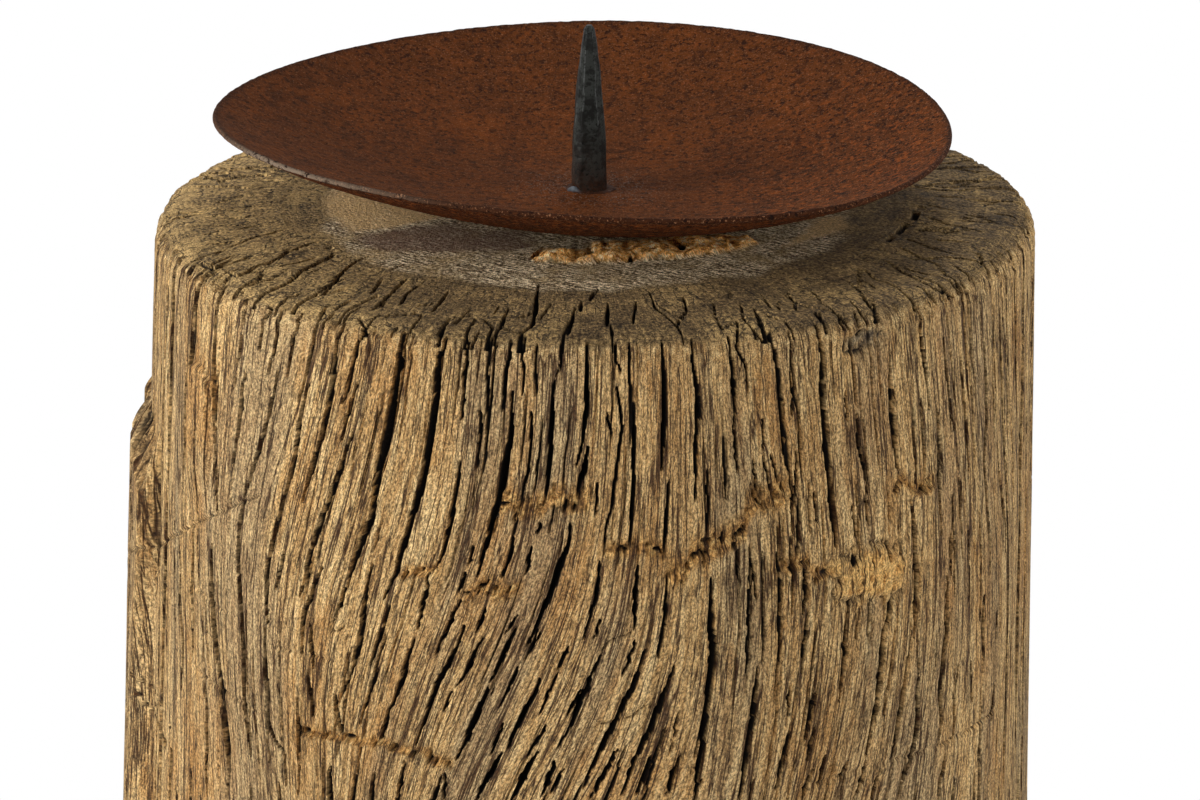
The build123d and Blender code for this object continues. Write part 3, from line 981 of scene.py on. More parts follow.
        threads = sheet.sum("ADD", sheet.sum("MULTIPLY", fibre, 0.9), sheet.sum("MULTIPLY", thread, 0.5))
        threads = sheet.sum("ADD", threads, sheet.level(dash, 0.32, 0.38, 0.0, 0.3))
        side = sheet.sum("SUBTRACT", threads, sheet.sum("MULTIPLY", hair, 0.5))
        flat = sheet.sum("SUBTRACT", 1.0, sheet.mark("top"))
        sawn = sheet.sum("SUBTRACT", sheet.sum("MULTIPLY", cut_end, 1.6), sheet.sum("MULTIPLY", crazed, 0.6))
        sawn = sheet.sum("MULTIPLY", sheet.mark("top"), sawn)
        height = sheet.sum("ADD", sheet.sum("MULTIPLY", side, flat), sheet.sum("MULTIPLY", grit, 0.45))
        height = sheet.sum("ADD", height, sheet.sum("ADD", sawn, sheet.sum("MULTIPLY", speck, 0.3)))
        frays = sheet.sum("MULTIPLY", sheet.sum("MAXIMUM", sheet.mark("rim"), sheet.mark("scar")), crumble)
        height = sheet.sum("ADD", height, sheet.sum("MULTIPLY", frays, 1.6))
        sheet.feed(surface.inputs["Base Color"], wood)
        sheet.feed(surface.inputs["Normal"], sheet.bump(height, self.relief, self.relief_share))
        surface.inputs["Roughness"].default_value = self.roughness
        surface.inputs["Specular IOR Level"].default_value = self.gloss
        return material


@dataclass(frozen=True)
class RustedSheet:
    """Rusted steel sheet, brown with dark pits and orange bloom, worn to pale metal at the rim."""

    brown: Colour = (88, 47, 19)
    dark: Colour = (26, 12, 6)
    orange: Colour = (128, 66, 20)
    fleck: Colour = (142, 98, 68)
    crust: Colour = (142, 74, 30)
    under: Colour = (80, 37, 13)
    rim: Colour = (54, 28, 14)
    worn: Colour = (158, 142, 122)
    halo: Colour = (116, 108, 100)
    scale: float = 1050.0
    mottle_scale: float = 150.0
    spot_scale: float = 560.0
    crust_scale: float = 640.0
    relief: float = 0.8
    metal: float = 0.0
    gloss: float = 0.05

    def make(self) -> bpy.types.Material:
        """Returns the dish's material."""
        material, sheet, surface = new_material("rusted sheet")
        rust = speckle(sheet, self.scale)
        mottle = sheet.noise(sheet.place(), self.mottle_scale, 5.0, 0.6)
        skin = sheet.mix(sheet.mark("under"), linear(self.brown), linear(self.under))
        bloom = sheet.sum("MULTIPLY", rust.outputs["Bloom"], 0.3)
        skin = sheet.mix(sheet.sum("MAXIMUM", bloom, sheet.mark("fresh")), skin, linear(self.orange))
        skin = sheet.mix(sheet.level(mottle, 0.52, 0.36, 0.0, 0.34), skin, linear(self.dark))
        spots = sheet.level(sheet.noise(sheet.place(), self.spot_scale, 4.0, 0.65), 0.48, 0.38)
        spots = sheet.sum("MULTIPLY", spots, sheet.level(sheet.mark("pitted"), 0.0, 1.0, 0.55, 1.0))
        skin = sheet.mix(spots, skin, linear(self.dark))
        crust = sheet.level(sheet.noise(sheet.place(), self.crust_scale, 4.0, 0.65), 0.52, 0.62)
        crust = sheet.sum("MULTIPLY", crust, sheet.level(sheet.mark("pitted"), 0.0, 1.0, 0.25, 0.8))
        skin = sheet.mix(crust, skin, linear(self.crust))
        skin = sheet.mix(sheet.mark("edge"), skin, linear(self.rim))
        pale = sheet.level(sheet.mark("pitted"), 0.0, 1.0, 0.6, 1.0)
        pale = sheet.sum("MULTIPLY", rust.outputs["Flecks"], pale)
        skin = sheet.mix(pale, skin, linear(self.fleck))
        holes = sheet.level(sheet.mark("pitted"), 0.0, 1.0, 0.8, 1.0)
        holes = sheet.sum("MULTIPLY", rust.outputs["Pits"], holes)
        skin = sheet.mix(holes, skin, linear(self.dark))
        ring = sheet.sum("MULTIPLY", sheet.mark("halo"), rust.outputs["Flecks"])
        skin = sheet.mix(ring, skin, linear(self.halo))
        edge = sheet.sum("MULTIPLY", sheet.mark("worn"), sheet.level(rust.outputs["Pits"], 0.8, 0.1))
        skin = sheet.mix(edge, skin, linear(self.worn))
        sheet.feed(surface.inputs["Base Color"], skin)
        sheet.feed(surface.inputs["Roughness"], sheet.level(edge, 0.0, 1.0, 0.8, 0.5))
        sheet.feed(surface.inputs["Normal"], sheet.bump(rust.outputs["Height"], self.relief, 0.9))
        surface.inputs["Metallic"].default_value = self.metal
        surface.inputs["Specular IOR Level"].default_value = self.gloss
        return material


@dataclass(frozen=True)
class ForgedSteel:
    """Forged steel, blue-black with painted highlights along its ridges and a little rust at the foot."""

    black: Colour = (46, 48, 45)
    ridge_highlight: Colour = (134, 136, 134)
    pit: Colour = (14, 13, 11)
    rust: Colour = (58, 32, 17)
    scale: float = 1700.0
    gloss: float = 0.08
    roughness: float = 0.46
    pit_roughness: float = 0.7

    def make(self) -> bpy.types.Material:
        """Returns the spike's material."""
        material, sheet, surface = new_material("forged steel")
        scale = speckle(sheet, self.scale)
        # painted highlights on the ridges, carried by the ridge mark
        skin = sheet.mix(sheet.mark("ridge"), linear(self.black), linear(self.ridge_highlight))
        blotch = sheet.level(sheet.noise(sheet.place(), 420.0, 4.0, 0.6), 0.56, 0.42, 0.0, 0.85)
        skin = sheet.mix(sheet.sum("MAXIMUM", scale.outputs["Pits"], blotch), skin, linear(self.pit))
        foot = sheet.sum("MULTIPLY", sheet.mark("foot"), sheet.level(scale.outputs["Height"], 0.55, 0.85))
        skin = sheet.mix(foot, skin, linear(self.rust))
        sheet.feed(surface.inputs["Base Color"], skin)
        dull = sheet.level(scale.outputs["Pits"], 0.0, 1.0, self.roughness, self.pit_roughness)
        sheet.feed(surface.inputs["Roughness"], dull)
        sheet.feed(surface.inputs["Normal"], sheet.bump(scale.outputs["Height"], 0.25, 0.8))
        surface.inputs["Specular IOR Level"].default_value = self.gloss
        return material


@dataclass(frozen=True)
class WeldMetal:
    """Weld metal, pale blue-grey on the bead and rusted round the rest of the spike."""

    bead_pale: Colour = (104, 110, 116)
    rust: Colour = (54, 29, 15)
    dark: Colour = (22, 13, 8)
    scale: float = 1700.0
    pit_share: float = 0.8
    gloss: float = 0.1

    def make(self) -> bpy.types.Material:
        """Returns the weld's material."""
        material, sheet, surface = new_material("weld metal")
        rust = speckle(sheet, self.scale)
        pits = sheet.sum("MULTIPLY", rust.outputs["Pits"], self.pit_share)
        skin = sheet.mix(pits, linear(self.rust), linear(self.dark))
        skin = sheet.mix(sheet.mark("bead"), skin, linear(self.bead_pale))
        sheet.feed(surface.inputs["Base Color"], skin)
        sheet.feed(surface.inputs["Roughness"], sheet.level(sheet.mark("bead"), 0.0, 1.0, 0.75, 0.4))
        sheet.feed(surface.inputs["Normal"], sheet.bump(rust.outputs["Height"], 0.3, 0.9))
        surface.inputs["Specular IOR Level"].default_value = self.gloss
        return material


@dataclass(frozen=True)
class PhotoView:
    """The camera of the view, which also carries traced pixels on to the post."""

    width: int = 1200
    height: int = 800
    focal: float = 4913.0
    pitch: float = math.radians(18.366)
    eye: tuple[float, float, float] = (2.137, -961.26, 575.64)
    sensor: float = 36.0

    def rays(self, pixels: np.ndarray) -> np.ndarray:
        """Directions of the lines of sight.

        Args:
            pixels: x and y of each pixel.

        Returns:
            One direction for each pixel.
        """
        right = (pixels[:, 0] - self.width / 2) / self.focal
        up = (self.height / 2 - pixels[:, 1]) / self.focal
        level, drop = math.cos(self.pitch), math.sin(self.pitch)
        return np.stack([right, level + up * drop, up * level - drop], 1)

    def on_level(self, pixels: np.ndarray, height: np.ndarray | float) -> np.ndarray:
        """Places where the lines of sight meet a level.

        Args:
            pixels: x and y of each pixel.
            height: the level, or one for each pixel.

        Returns:
            x and y of each place.
        """
        rays = self.rays(pixels)
        reach = (height - self.eye[2]) / rays[:, 2]
        return np.stack([self.eye[0] + reach * rays[:, 0], self.eye[1] + reach * rays[:, 1]], 1)

    def make(self) -> bpy.types.Object:
        """Returns the camera object, set as the scene's own."""
        data = bpy.data.cameras.new("view")
        data.sensor_fit = "HORIZONTAL"
        data.sensor_width = self.sensor
        data.lens = self.sensor * self.focal / self.width
        data.clip_start, data.clip_end = 0.01, 50.0
        camera = bpy.data.objects.new("view", data)
        camera.location = [value * MM for value in self.eye]
        camera.rotation_euler = (math.pi / 2 - self.pitch, 0.0, 0.0)
        bpy.context.scene.collection.objects.link(camera)
        bpy.context.scene.camera = camera
        return camera


@dataclass(frozen=True)
class Trunk:
    """The trunk's bare round, before it checked and weathered."""

    height: float = 300.0
    stations: tuple[tuple[float, float], ...] = (
        (0.0, 97.0), (90.0, 95.5), (186.0, 93.1), (252.0, 90.8), (290.0, 89.6))
    lobes: tuple[tuple[int, float], ...] = ((2, 0.010), (3, 0.006), (5, 0.004))
    foot_shift: float = 4.0
    top_shift: float = 1.3

    def middle(self, level: np.ndarray | float) -> np.ndarray | float:
        """Returns how far right of the socket's axis the trunk's middle is at a level."""
        return (self.top_shift + self.foot_shift) * level / self.height - self.foot_shift

    def radius(self, turn: np.ndarray, level: np.ndarray | float) -> np.ndarray:
        """Returns the trunk's radius at a turn and a level."""
        mean = np.polyval(np.polyfit(*np.array(self.stations).T, 3), level)
        angle = turn - math.pi / 2
        return mean * (1 + sum(share * np.sin(count * angle) for count, share in self.lobes))

    def meet(self, view: PhotoView, pixels: np.ndarray) -> tuple[np.ndarray, np.ndarray]:
        """Where lines of sight first meet the trunk, or pass it most closely.

        Args:
            view: the camera.
            pixels: x and y of each pixel.

        Returns:
            The turn and the level of each place.
        """
        rays = view.rays(pixels)
        radius = np.full(len(pixels), self.stations[-1][1])
        middle = np.zeros(len(pixels))
        turn, level = middle, middle
        for _ in range(6):
            ox, oy = view.eye[0] - middle, view.eye[1]
            square = rays[:, 0] ** 2 + rays[:, 1] ** 2
            half = ox * rays[:, 0] + oy * rays[:, 1]
            rest = np.maximum(half ** 2 - square * (ox ** 2 + oy ** 2 - radius ** 2), 0)
            reach = (-half - np.sqrt(rest)) / square
            level = view.eye[2] + reach * rays[:, 2]
            turn = np.arctan2(ox + reach * rays[:, 0], -(oy + reach * rays[:, 1]))
            radius = self.radius(turn, level)
            middle = self.middle(level)
        return turn, level


@dataclass
class TimberPost:
    """The post: a grid of points whose columns follow the grain down the side and in over the top."""

    view: PhotoView
    trunk: Trunk = Trunk()
    seat_radius: float = 62.0
    seat_level: float = 299.2
    lip_level: float = 299.3
    milled_middle: tuple[float, float] = (-0.5, -8.0)
    milled_radius: float = 54.0
    crown_level: float = 298.1
    crown_inset: float = 5.5
    edge_level: float = 297.6
    edge_inset: float = 0.2
    shoulder: float = 292.0
    socket_radius: float = 3.75
    socket_depth: float = 53.0
    front_step: float = 0.32
    back_step: float = 0.5
    fine_row: float = 0.55
    coarse_row: float = 2.4
    fine_from: float = 195.0
    top_row: float = 0.95
    first_level: float = 1.2
    foot_shares: tuple[float, ...] = (0.2, 0.45, 0.7, 0.9, 0.985)
    edge_steps: int = 16
    edge_run: float = 18.0
    top_run: float = 18.0
    top_span: float = 22.0
    seat_rows: tuple[float, float] = (61.2, 38.0)
    middle_radii: tuple[float, ...] = (34.0, 28.0, 20.0, 12.0, 6.0)
    socket_run: float = 100.0
    anchor_level: float = 240.0
    seen_turn: float = math.radians(66)
    seen_level: float = 207.0
    seen_rise: float = 40.0
    flake_turns: tuple[float, float] = (math.radians(-112), math.radians(-73.5))
    flake_top: float = 256.5
    flake_break: float = 8.0
    flake_proud: float = 4.2
    lip_drop: float = 0.18
    lip_reach: float = 0.36
    check_width: float = 1.8
    check_depth: float = 7.5
    lane_count: int = 30
    lane_sway: float = math.radians(4.0)
    lane_lean: float = math.radians(3.0)
    golden: float = 0.618
    lane_size: float = 0.60
    size_spread: float = 0.40
    lane_break: float = 0.35
    break_spread: float = 0.30
    break_gap: float = 0.02
    lane_overrun: float = 0.05
    front_lane_top: float = 0.65
    small_lane: float = 11.0
    small_widths: tuple[float, ...] = (0.5, 0.7, 0.9, 1.1, 1.4)
    traced_share: float = 0.84
    traced_limit: float = 1.9
    traced_depth: float = 8.5
    medium_count: int = 420
    hairline_count: int = 1100
    seed: int = 7
    marks: dict[str, np.ndarray] = field(default_factory=dict)

    def __post_init__(self) -> None:
        """Works out the grid before anything is cut into it."""
        self.rng = np.random.default_rng(self.seed)
        self.lap = 2 * math.pi * self.trunk.stations[-1][1]
        self.unit = self.trunk.stations[-1][1]
        self.columns = self.column_turns()
        self.side_levels = np.concatenate([
            np.arange(self.first_level, self.fine_from, self.coarse_row),
            np.arange(self.fine_from, self.shoulder + 0.1, self.fine_row)])
        self.side_traces = [(trace[0], *self.trunk.meet(self.view, points_of(trace[1:])))
                            for trace in SIDE_CHECKS]
        self.turns = self.follow_grain()
        self.edge_turns = self.turns[-1]
        self.lay_rows()

    def column_turns(self) -> np.ndarray:
        """Returns the turn of each column at the shoulder, close at the front and wider behind."""
        turn = np.linspace(-math.pi, math.pi, 7201)
        blend = ease((np.abs(turn) - math.radians(76)) / math.radians(24))
        step = self.front_step + (self.back_step - self.front_step) * blend
        count = np.concatenate([[0.0], np.cumsum(np.diff(turn) * self.unit / step[1:])])
        total = int(count[-1])
        return np.interp(np.arange(total) * count[-1] / total, count, turn)

    def follow_grain(self) -> np.ndarray:
        """Turns of the columns at each level of the side, following the lean of the traced checks.

        Returns:
            One row of turns for each side level.
        """
        turn_nodes = np.linspace(-math.pi, math.pi, 97)
        level_nodes = np.linspace(0, 300, 61)
        grid_turn, grid_level = np.meshgrid(turn_nodes, level_nodes)
        weight = np.full(grid_turn.shape, 2.5)
        pull = 0.03 * np.sin(3 * grid_turn + grid_level / 45) * weight * ease((230 - grid_level) / 60)
        for _, turn, level in self.side_traces:
            for index in range(len(turn) - 1):
                drop = level[index] - level[index + 1]
                if drop < 1 or abs(turn[index]) > self.seen_turn:
                    continue
                slope = (turn[index] - turn[index + 1]) * self.unit / drop
                across = (grid_turn - (turn[index] + turn[index + 1]) / 2) * self.unit / 9
                along = (grid_level - (level[index] + level[index + 1]) / 2) / 13
                near = drop * np.exp(-0.5 * (across ** 2 + along ** 2))
                weight += near
                pull += near * np.clip(slope, -0.6, 0.6)
        lean = pull / weight
        turns = np.empty((len(self.side_levels), len(self.columns)))
        start = int(np.searchsorted(self.side_levels, self.anchor_level))
        for order in (range(start, len(self.side_levels)), range(start - 1, -1, -1)):
            here = self.columns.copy()
            before = self.anchor_level
            for row in order:
                level = self.side_levels[row]
                at = np.clip(level / 5.0, 0, 59.999)
                low = int(at)
                lean_row = lean[low] * (1 - (at - low)) + lean[low + 1] * (at - low)
                around = (here + math.pi) % (2 * math.pi) - math.pi
                here = here + np.interp(around, turn_nodes, lean_row) * (level - before) / self.unit
                turns[row] = here
                before = level
        return turns

    def lay_rows(self) -> None:
        """Lays the bare surface: foot, side, rounded edge, top, seat and socket."""
        rows, along, on_top = [], [], []

        def ring(radius: np.ndarray | float, turn: np.ndarray, level: np.ndarray | float,
                 middle: np.ndarray | float, length: float, top: float) -> None:
            """Lays one ring of points, with its length along the grain and how far it counts as top."""
            rows.append(np.stack(np.broadcast_arrays(middle + radius * np.sin(turn), -radius * np.cos(turn),
                                                     level), -1))
            along.append(length)
            on_top.append(top)

        foot_turn = self.turns[0]
        foot_radius = self.trunk.radius(foot_turn, 0.0)
        for share in self.foot_shares:
            ring(foot_radius * share, foot_turn, 0.0, self.trunk.middle(0.0), -(1 - share) * self.unit, 0.0)
        self.first_side = len(rows)
        for level, turn in zip(self.side_levels, self.turns):
            ring(self.trunk.radius(turn, level), turn, level, self.trunk.middle(level), level, 0.0)
        side_radius = self.trunk.radius(self.edge_turns, self.shoulder)
        for step in range(1, self.edge_steps + 1):
            t = step / self.edge_steps
            inset = 2 * t * (1 - t) * self.edge_inset + t * t * self.crown_inset
            level = ((1 - t) ** 2 * self.shoulder + 2 * t * (1 - t) * self.edge_level
                     + t * t * self.crown_level)
            ring(side_radius - inset, self.edge_turns, level, self.trunk.middle(level),
                 self.shoulder + self.edge_run * t, ease(np.array((t - 0.35) / 0.3)).item())
        crown = rows[-1]
        lip = np.stack([(self.seat_radius + 0.6) * np.sin(self.edge_turns),
                        -(self.seat_radius + 0.6) * np.cos(self.edge_turns),
                        np.full(len(self.columns), self.lip_level)], -1)
        span = int(round(self.top_span / self.top_row))
        for step in range(1, span + 1):
            rows.append(crown + (lip - crown) * step / span)
            along.append(self.shoulder + self.edge_run + self.top_run * step / span)
            on_top.append(1.0)
        seat_radii = np.concatenate([[self.seat_radius], np.arange(*self.seat_rows, -self.top_row),
                                     self.middle_radii, [self.socket_radius]])
        seat_run = self.shoulder + self.edge_run + self.top_run + self.seat_radius
        for radius in seat_radii:
            ring(radius, self.edge_turns, self.seat_level, 0.0, seat_run - radius, 1.0)
        self.last_top = len(rows)
        for drop in (0.5, self.socket_depth):
            ring(self.socket_radius, self.edge_turns, self.seat_level - drop, 0.0,
                 self.shoulder + self.socket_run + drop, 1.0)
        self.base = np.array(rows)
        self.along = np.array(along)
        self.top = np.array(on_top)
        self.across = self.columns * self.unit
        self.height = np.zeros(self.base.shape[:2])
        self.cut = np.zeros(self.base.shape[:2])
        self.lip = np.zeros(self.base.shape[:2])
        self.spread = np.ones(self.base.shape[:2])
        grown = np.gradient(self.turns, axis=1) / np.gradient(self.columns)
        self.spread[self.first_side:self.first_side + len(self.turns)] = np.clip(grown, 0.3, 3.0)
        self.spread[self.first_side + len(self.turns):] = self.spread[self.first_side + len(self.turns) - 1]

    def grain_place(self, turn: np.ndarray, level: np.ndarray) -> np.ndarray:
        """Carries places on the side to the grain's own coordinates.

        Args:
            turn: turn of each place.
            level: level of each place.

        Returns:
            For each place, the distance round the shoulder of the column that it is on.
        """
        row = np.clip(np.searchsorted(self.side_levels, level), 0, len(self.side_levels) - 1)
        return np.array([np.interp(t, self.turns[r], self.across) for t, r in zip(turn, row)])

    def split(self, across: np.ndarray, along: np.ndarray, width: float, depth: float) -> None:
        """Opens one check along the grain.

        Args:
            across: places of its line across the grain.
            along: places of its line along the grain.
            width: greatest width.
            depth: greatest depth.
        """
        order = np.argsort(along)
        across, along = across[order], along[order]
        low, high = along[0], along[-1]
        open_top = high > 290
        if open_top:
            high = max(high, self.shoulder) + 10
        rows = np.flatnonzero((self.along >= low) & (self.along <= high) & (self.top < 0.8))
        if len(rows) < 2:
            return
        here = self.along[rows]
        share = (here - low) / (high - low)
        end = np.clip(9.0 / (high - low), 0.08, 0.4)
        taper = np.clip(share / end, 0.03, 1) ** 0.7
        if open_top:
            taper *= np.clip(1 - (here - self.shoulder + 4) / 16, 0.45, 1)
        else:
            taper *= np.clip((1 - share) / end, 0.03, 1) ** 0.7
        sway = np.interp(here, np.linspace(low, high, 9), self.rng.normal(0, 0.12, 9))
        middle = np.interp(here, along, across) + sway
        ragged = np.interp(here, np.linspace(low, high, 14), self.rng.uniform(0.7, 1.15, 14))
        half = np.maximum(width / 2 * taper * ragged, 0.12)
        gap = self.across[None, :] - middle[:, None]
        gap = np.abs((gap + self.lap / 2) % self.lap - self.lap / 2)
        at = np.clip(np.searchsorted(self.across, middle), 0, len(self.across) - 1)
        gap = gap * self.spread[rows, at][:, None]
        columns = np.flatnonzero(gap.min(0) < half.max() + 3 * self.lip_reach)
        gap = gap[:, columns]
        inside = np.clip(1 - gap / np.maximum(half, 0.22)[:, None], 0, 1)
        block = np.ix_(rows, columns)
        self.cut[block] = np.maximum(self.cut[block], depth * (taper ** 0.5)[:, None] * inside ** 0.4)
        lip = np.exp(-np.clip(gap - half[:, None], 0, None) / self.lip_reach) * taper[:, None]
        lip *= min(width / 1.0, 1.0) * ease((self.shoulder - here) / 8)[:, None]
        self.lip[block] = np.maximum(self.lip[block], lip)

    def scatter(self, lane: int, step: int) -> float:
        """Returns a share between 0 and 1 that jumps from lane to lane."""
        return lane * step * self.golden % 1

    def open_long_checks(self) -> None:
        """Opens the long checks in their lanes, where the solid post has them."""
        height = self.trunk.height
        for lane in range(self.lane_count):
            turn = 2 * math.pi * lane / self.lane_count - math.pi + self.lane_sway * self.scatter(lane, 1)
            lean = self.lane_lean * (self.scatter(lane, 3) - 0.5)
            size = self.lane_size + self.size_spread * self.scatter(lane, 5)
            parting = self.lane_break + self.break_spread * self.scatter(lane, 2)
            runs = [(-self.lane_overrun, parting - self.break_gap),
                    (parting + self.break_gap, 1 + self.lane_overrun)]
            if abs(turn) < self.seen_turn:
                runs = [(-self.lane_overrun, self.front_lane_top)]
            for low, high in runs:
                level = np.linspace(low, high, 12) * height
                turns = turn + math.tan(lean) * (level - (low + high) / 2 * height) / self.unit
                width, depth = self.check_width * size, self.check_depth * size
                self.split(self.grain_place(turns, level), level, width, depth)

    def open_small_checks(self) -> None:
        """Opens seeded checks between the long ones, where the post isn't seen."""
        lanes = int(self.lap / self.small_lane)
        for lane in range(lanes):
            across = (lane + self.rng.uniform(-0.36, 0.36)) * self.lap / lanes - self.lap / 2
            turn = across / self.unit
            seen = abs(turn) < self.seen_turn
            limit = self.seen_level - self.seen_rise * (1 - math.cos(turn)) if seen else self.trunk.height
            low = self.rng.uniform(-40, 15)
            while low < limit - 12:
                high = min(low + self.rng.uniform(30, 130), limit + 4)
                width = self.rng.choice(self.small_widths)
                if high - low > 14:
                    along = np.linspace(low, high, 5)
                    self.split(across + np.cumsum(self.rng.normal(0, 0.22, 5)), along, width,
                               min(1.6 + 3.4 * width, self.check_depth))
                across += self.rng.normal(0, 1.2)
                low = high + self.rng.uniform(3, 20)

    def open_side_checks(self) -> None:
        """Opens the traced checks, the long and small ones where the post isn't seen, and the hairlines."""
        for width, turn, level in self.side_traces:
            facing = max(math.cos(float(np.mean(turn))), 0.42)
            size = self.traced_share * width / PIXELS_PER_MM / facing ** 0.8
            depth = min(1.8 + 4.2 * size, self.traced_depth)
            self.split(self.grain_place(turn, level), level, min(size, self.traced_limit), depth)
        self.open_long_checks()
        self.open_small_checks()
        for _ in range(self.medium_count):
            low = self.rng.uniform(0, 280)
            along = np.linspace(low, low + self.rng.uniform(8, 26), 3)
            across = self.rng.uniform(-self.lap / 2, self.lap / 2) + self.rng.normal(0, 0.2, 3)
            self.split(across, along, self.rng.uniform(0.3, 0.55), self.rng.uniform(1.2, 2.6))
        for _ in range(self.hairline_count):
            low = self.rng.uniform(0, 292)
            along = np.linspace(low, low + self.rng.uniform(7, 32), 3)
            across = self.rng.uniform(-self.lap / 2, self.lap / 2) + self.rng.normal(0, 0.15, 3)
            self.split(across, along, self.rng.uniform(0.2, 0.4), self.rng.uniform(0.35, 1.0))

    def open_top_checks(self) -> None:
        """Opens the traced checks of the top, then seeded ones where the top isn't seen."""
        lines = []
        for trace in TOP_CHECKS:
            pixels = points_of(trace[1:])
            places = self.view.on_level(pixels, self.crown_level)
            for _ in range(3):
                out = np.hypot(places[:, 0] - self.trunk.top_shift, places[:, 1])
                drop = 2.5 * np.clip((out - self.unit + self.crown_inset) / self.crown_inset, 0, 1.2) ** 2
                places = self.view.on_level(pixels, self.crown_level - drop)
            lines.append((0.8 * trace[0] / PIXELS_PER_MM, places))
        turn = math.radians(100)
        while turn < math.radians(262):
            ends = np.array([93.0, self.rng.uniform(80, 86), self.rng.uniform(66, 79)])
            bend = turn + self.rng.normal(0, 0.012, 3)
            line = np.stack([self.trunk.top_shift + ends * np.sin(bend), -ends * np.cos(bend)], 1)
            lines.append((self.rng.uniform(0.5, 1.2), line))
            turn += math.radians(self.rng.uniform(3.0, 6.5))
        for _ in range(170):
            turn = self.rng.uniform(-math.pi, math.pi)
            out = self.rng.uniform(67, 88)
            ends = np.array([out + self.rng.uniform(2, 8), out])
            bend = turn + self.rng.normal(0, 0.02, 2)
            line = np.stack([self.trunk.top_shift + ends * np.sin(bend), -ends * np.cos(bend)], 1)
            lines.append((self.rng.uniform(0.25, 0.5), line))
        rows = np.flatnonzero((self.top > 0) & (self.along < self.shoulder + 60))
        x, y = self.base[rows, :, 0], self.base[rows, :, 1]
        for width, line in lines:
            out = np.hypot(line[:, 0] - self.trunk.top_shift, line[:, 1])
            if out[0] < out[-1]:
                line, out = line[::-1], out[::-1]
            open_edge = out[0] > self.unit - 8
            if open_edge:
                line = np.vstack([line[:1] * (1 + 6 / out[0]), line])
            reach = width + 2.0
            near = ((x > line[:, 0].min() - reach) & (x < line[:, 0].max() + reach)
                    & (y > line[:, 1].min() - reach) & (y < line[:, 1].max() + reach))
            at_row, at_column = np.nonzero(near)
            if len(at_row) == 0:
                continue
            gap, share = line_gap(x[near], y[near], line)
            gap = gap + 0.12 * lattice_noise(len(line), x[near], y[near], (1.4, 1.4))
            taper = np.clip((1 - share) / 0.35, 0.05, 1) ** 0.6
            if not open_edge:
                taper = taper * np.clip(share / 0.25, 0.05, 1) ** 0.6
            inside = np.clip(1 - gap / np.maximum(width / 2 * taper, 0.24), 0, 1)
            depth = min(1.0 + 3.0 * width, 5.0) * taper ** 0.5 * inside ** 0.4
            index = (rows[at_row], at_column)
            self.cut[index] = np.maximum(self.cut[index], depth)
            lip = 0.3 * np.exp(-np.clip(gap - width / 2, 0, None) / 0.6)
            self.lip[index] = np.maximum(self.lip[index], lip)

    def raise_flake(self) -> None:
        """Raises the flake of sapwood on the left, ragged where it broke off, and a slab beside it."""
        turn = np.broadcast_to(self.edge_turns, self.height.shape).copy()
        last = self.first_side + len(self.side_levels)
        turn[self.first_side:last] = self.turns
        level = np.broadcast_to(self.base[:, :, 2], self.height.shape)
        start, end = self.flake_turns
        strands = np.zeros(len(self.across))
        ragged = 3.6 * lattice_noise(21, self.across, strands, (2.4, 1.0), self.lap, 3.0)
        ragged += 1.5 * lattice_noise(23, self.across, strands, (0.9, 1.0), self.lap, 2.0)
        across, along = np.meshgrid(self.across, self.along)
        torn = lattice_noise(22, across, along, (1.1, 6.0), self.lap, 1.5)
        broken = np.clip((self.flake_top - level - ragged) / self.flake_break, 0, 1)
        front = ease((end - turn) * self.unit / (2.4 + 5.0 * ease((234 - level) / 50)))
        back = ease((turn - start) * self.unit / 9.0)
        flake = broken * front * back
        flake[self.along > self.shoulder] = 0
        slope = 4 * broken * (1 - broken) * front * back
        self.height += self.flake_proud * flake + 0.6 * slope * torn
        self.cut = np.maximum(self.cut, 0.9 * slope * ease((-torn - 0.35) / 0.3))
        under = np.exp(-((turn - end) * self.unit / 0.3) ** 2) * broken * ease((level - 226) / 8)
        under[self.along > self.shoulder] = 0
        self.cut = np.maximum(self.cut, 2.0 * under)
        # painted shade over the flake's broken top
        self.marks["flake"] = np.clip(0.5 * slope, 0, 1)
        slab_turn, slab_top = self.trunk.meet(self.view, np.array([[200.0, 362.0], [200.0, 520.0]]))
        offset = (turn - slab_turn[0]) * self.unit
        crown = slab_top[0] - 0.12 * offset ** 2
        wide = ease((5.0 - np.abs(offset)) / 0.8)
        tall = ease((crown - level) / 0.9) * ease((level - slab_top[1]) / 14)
        self.height += 1.1 * wide * tall

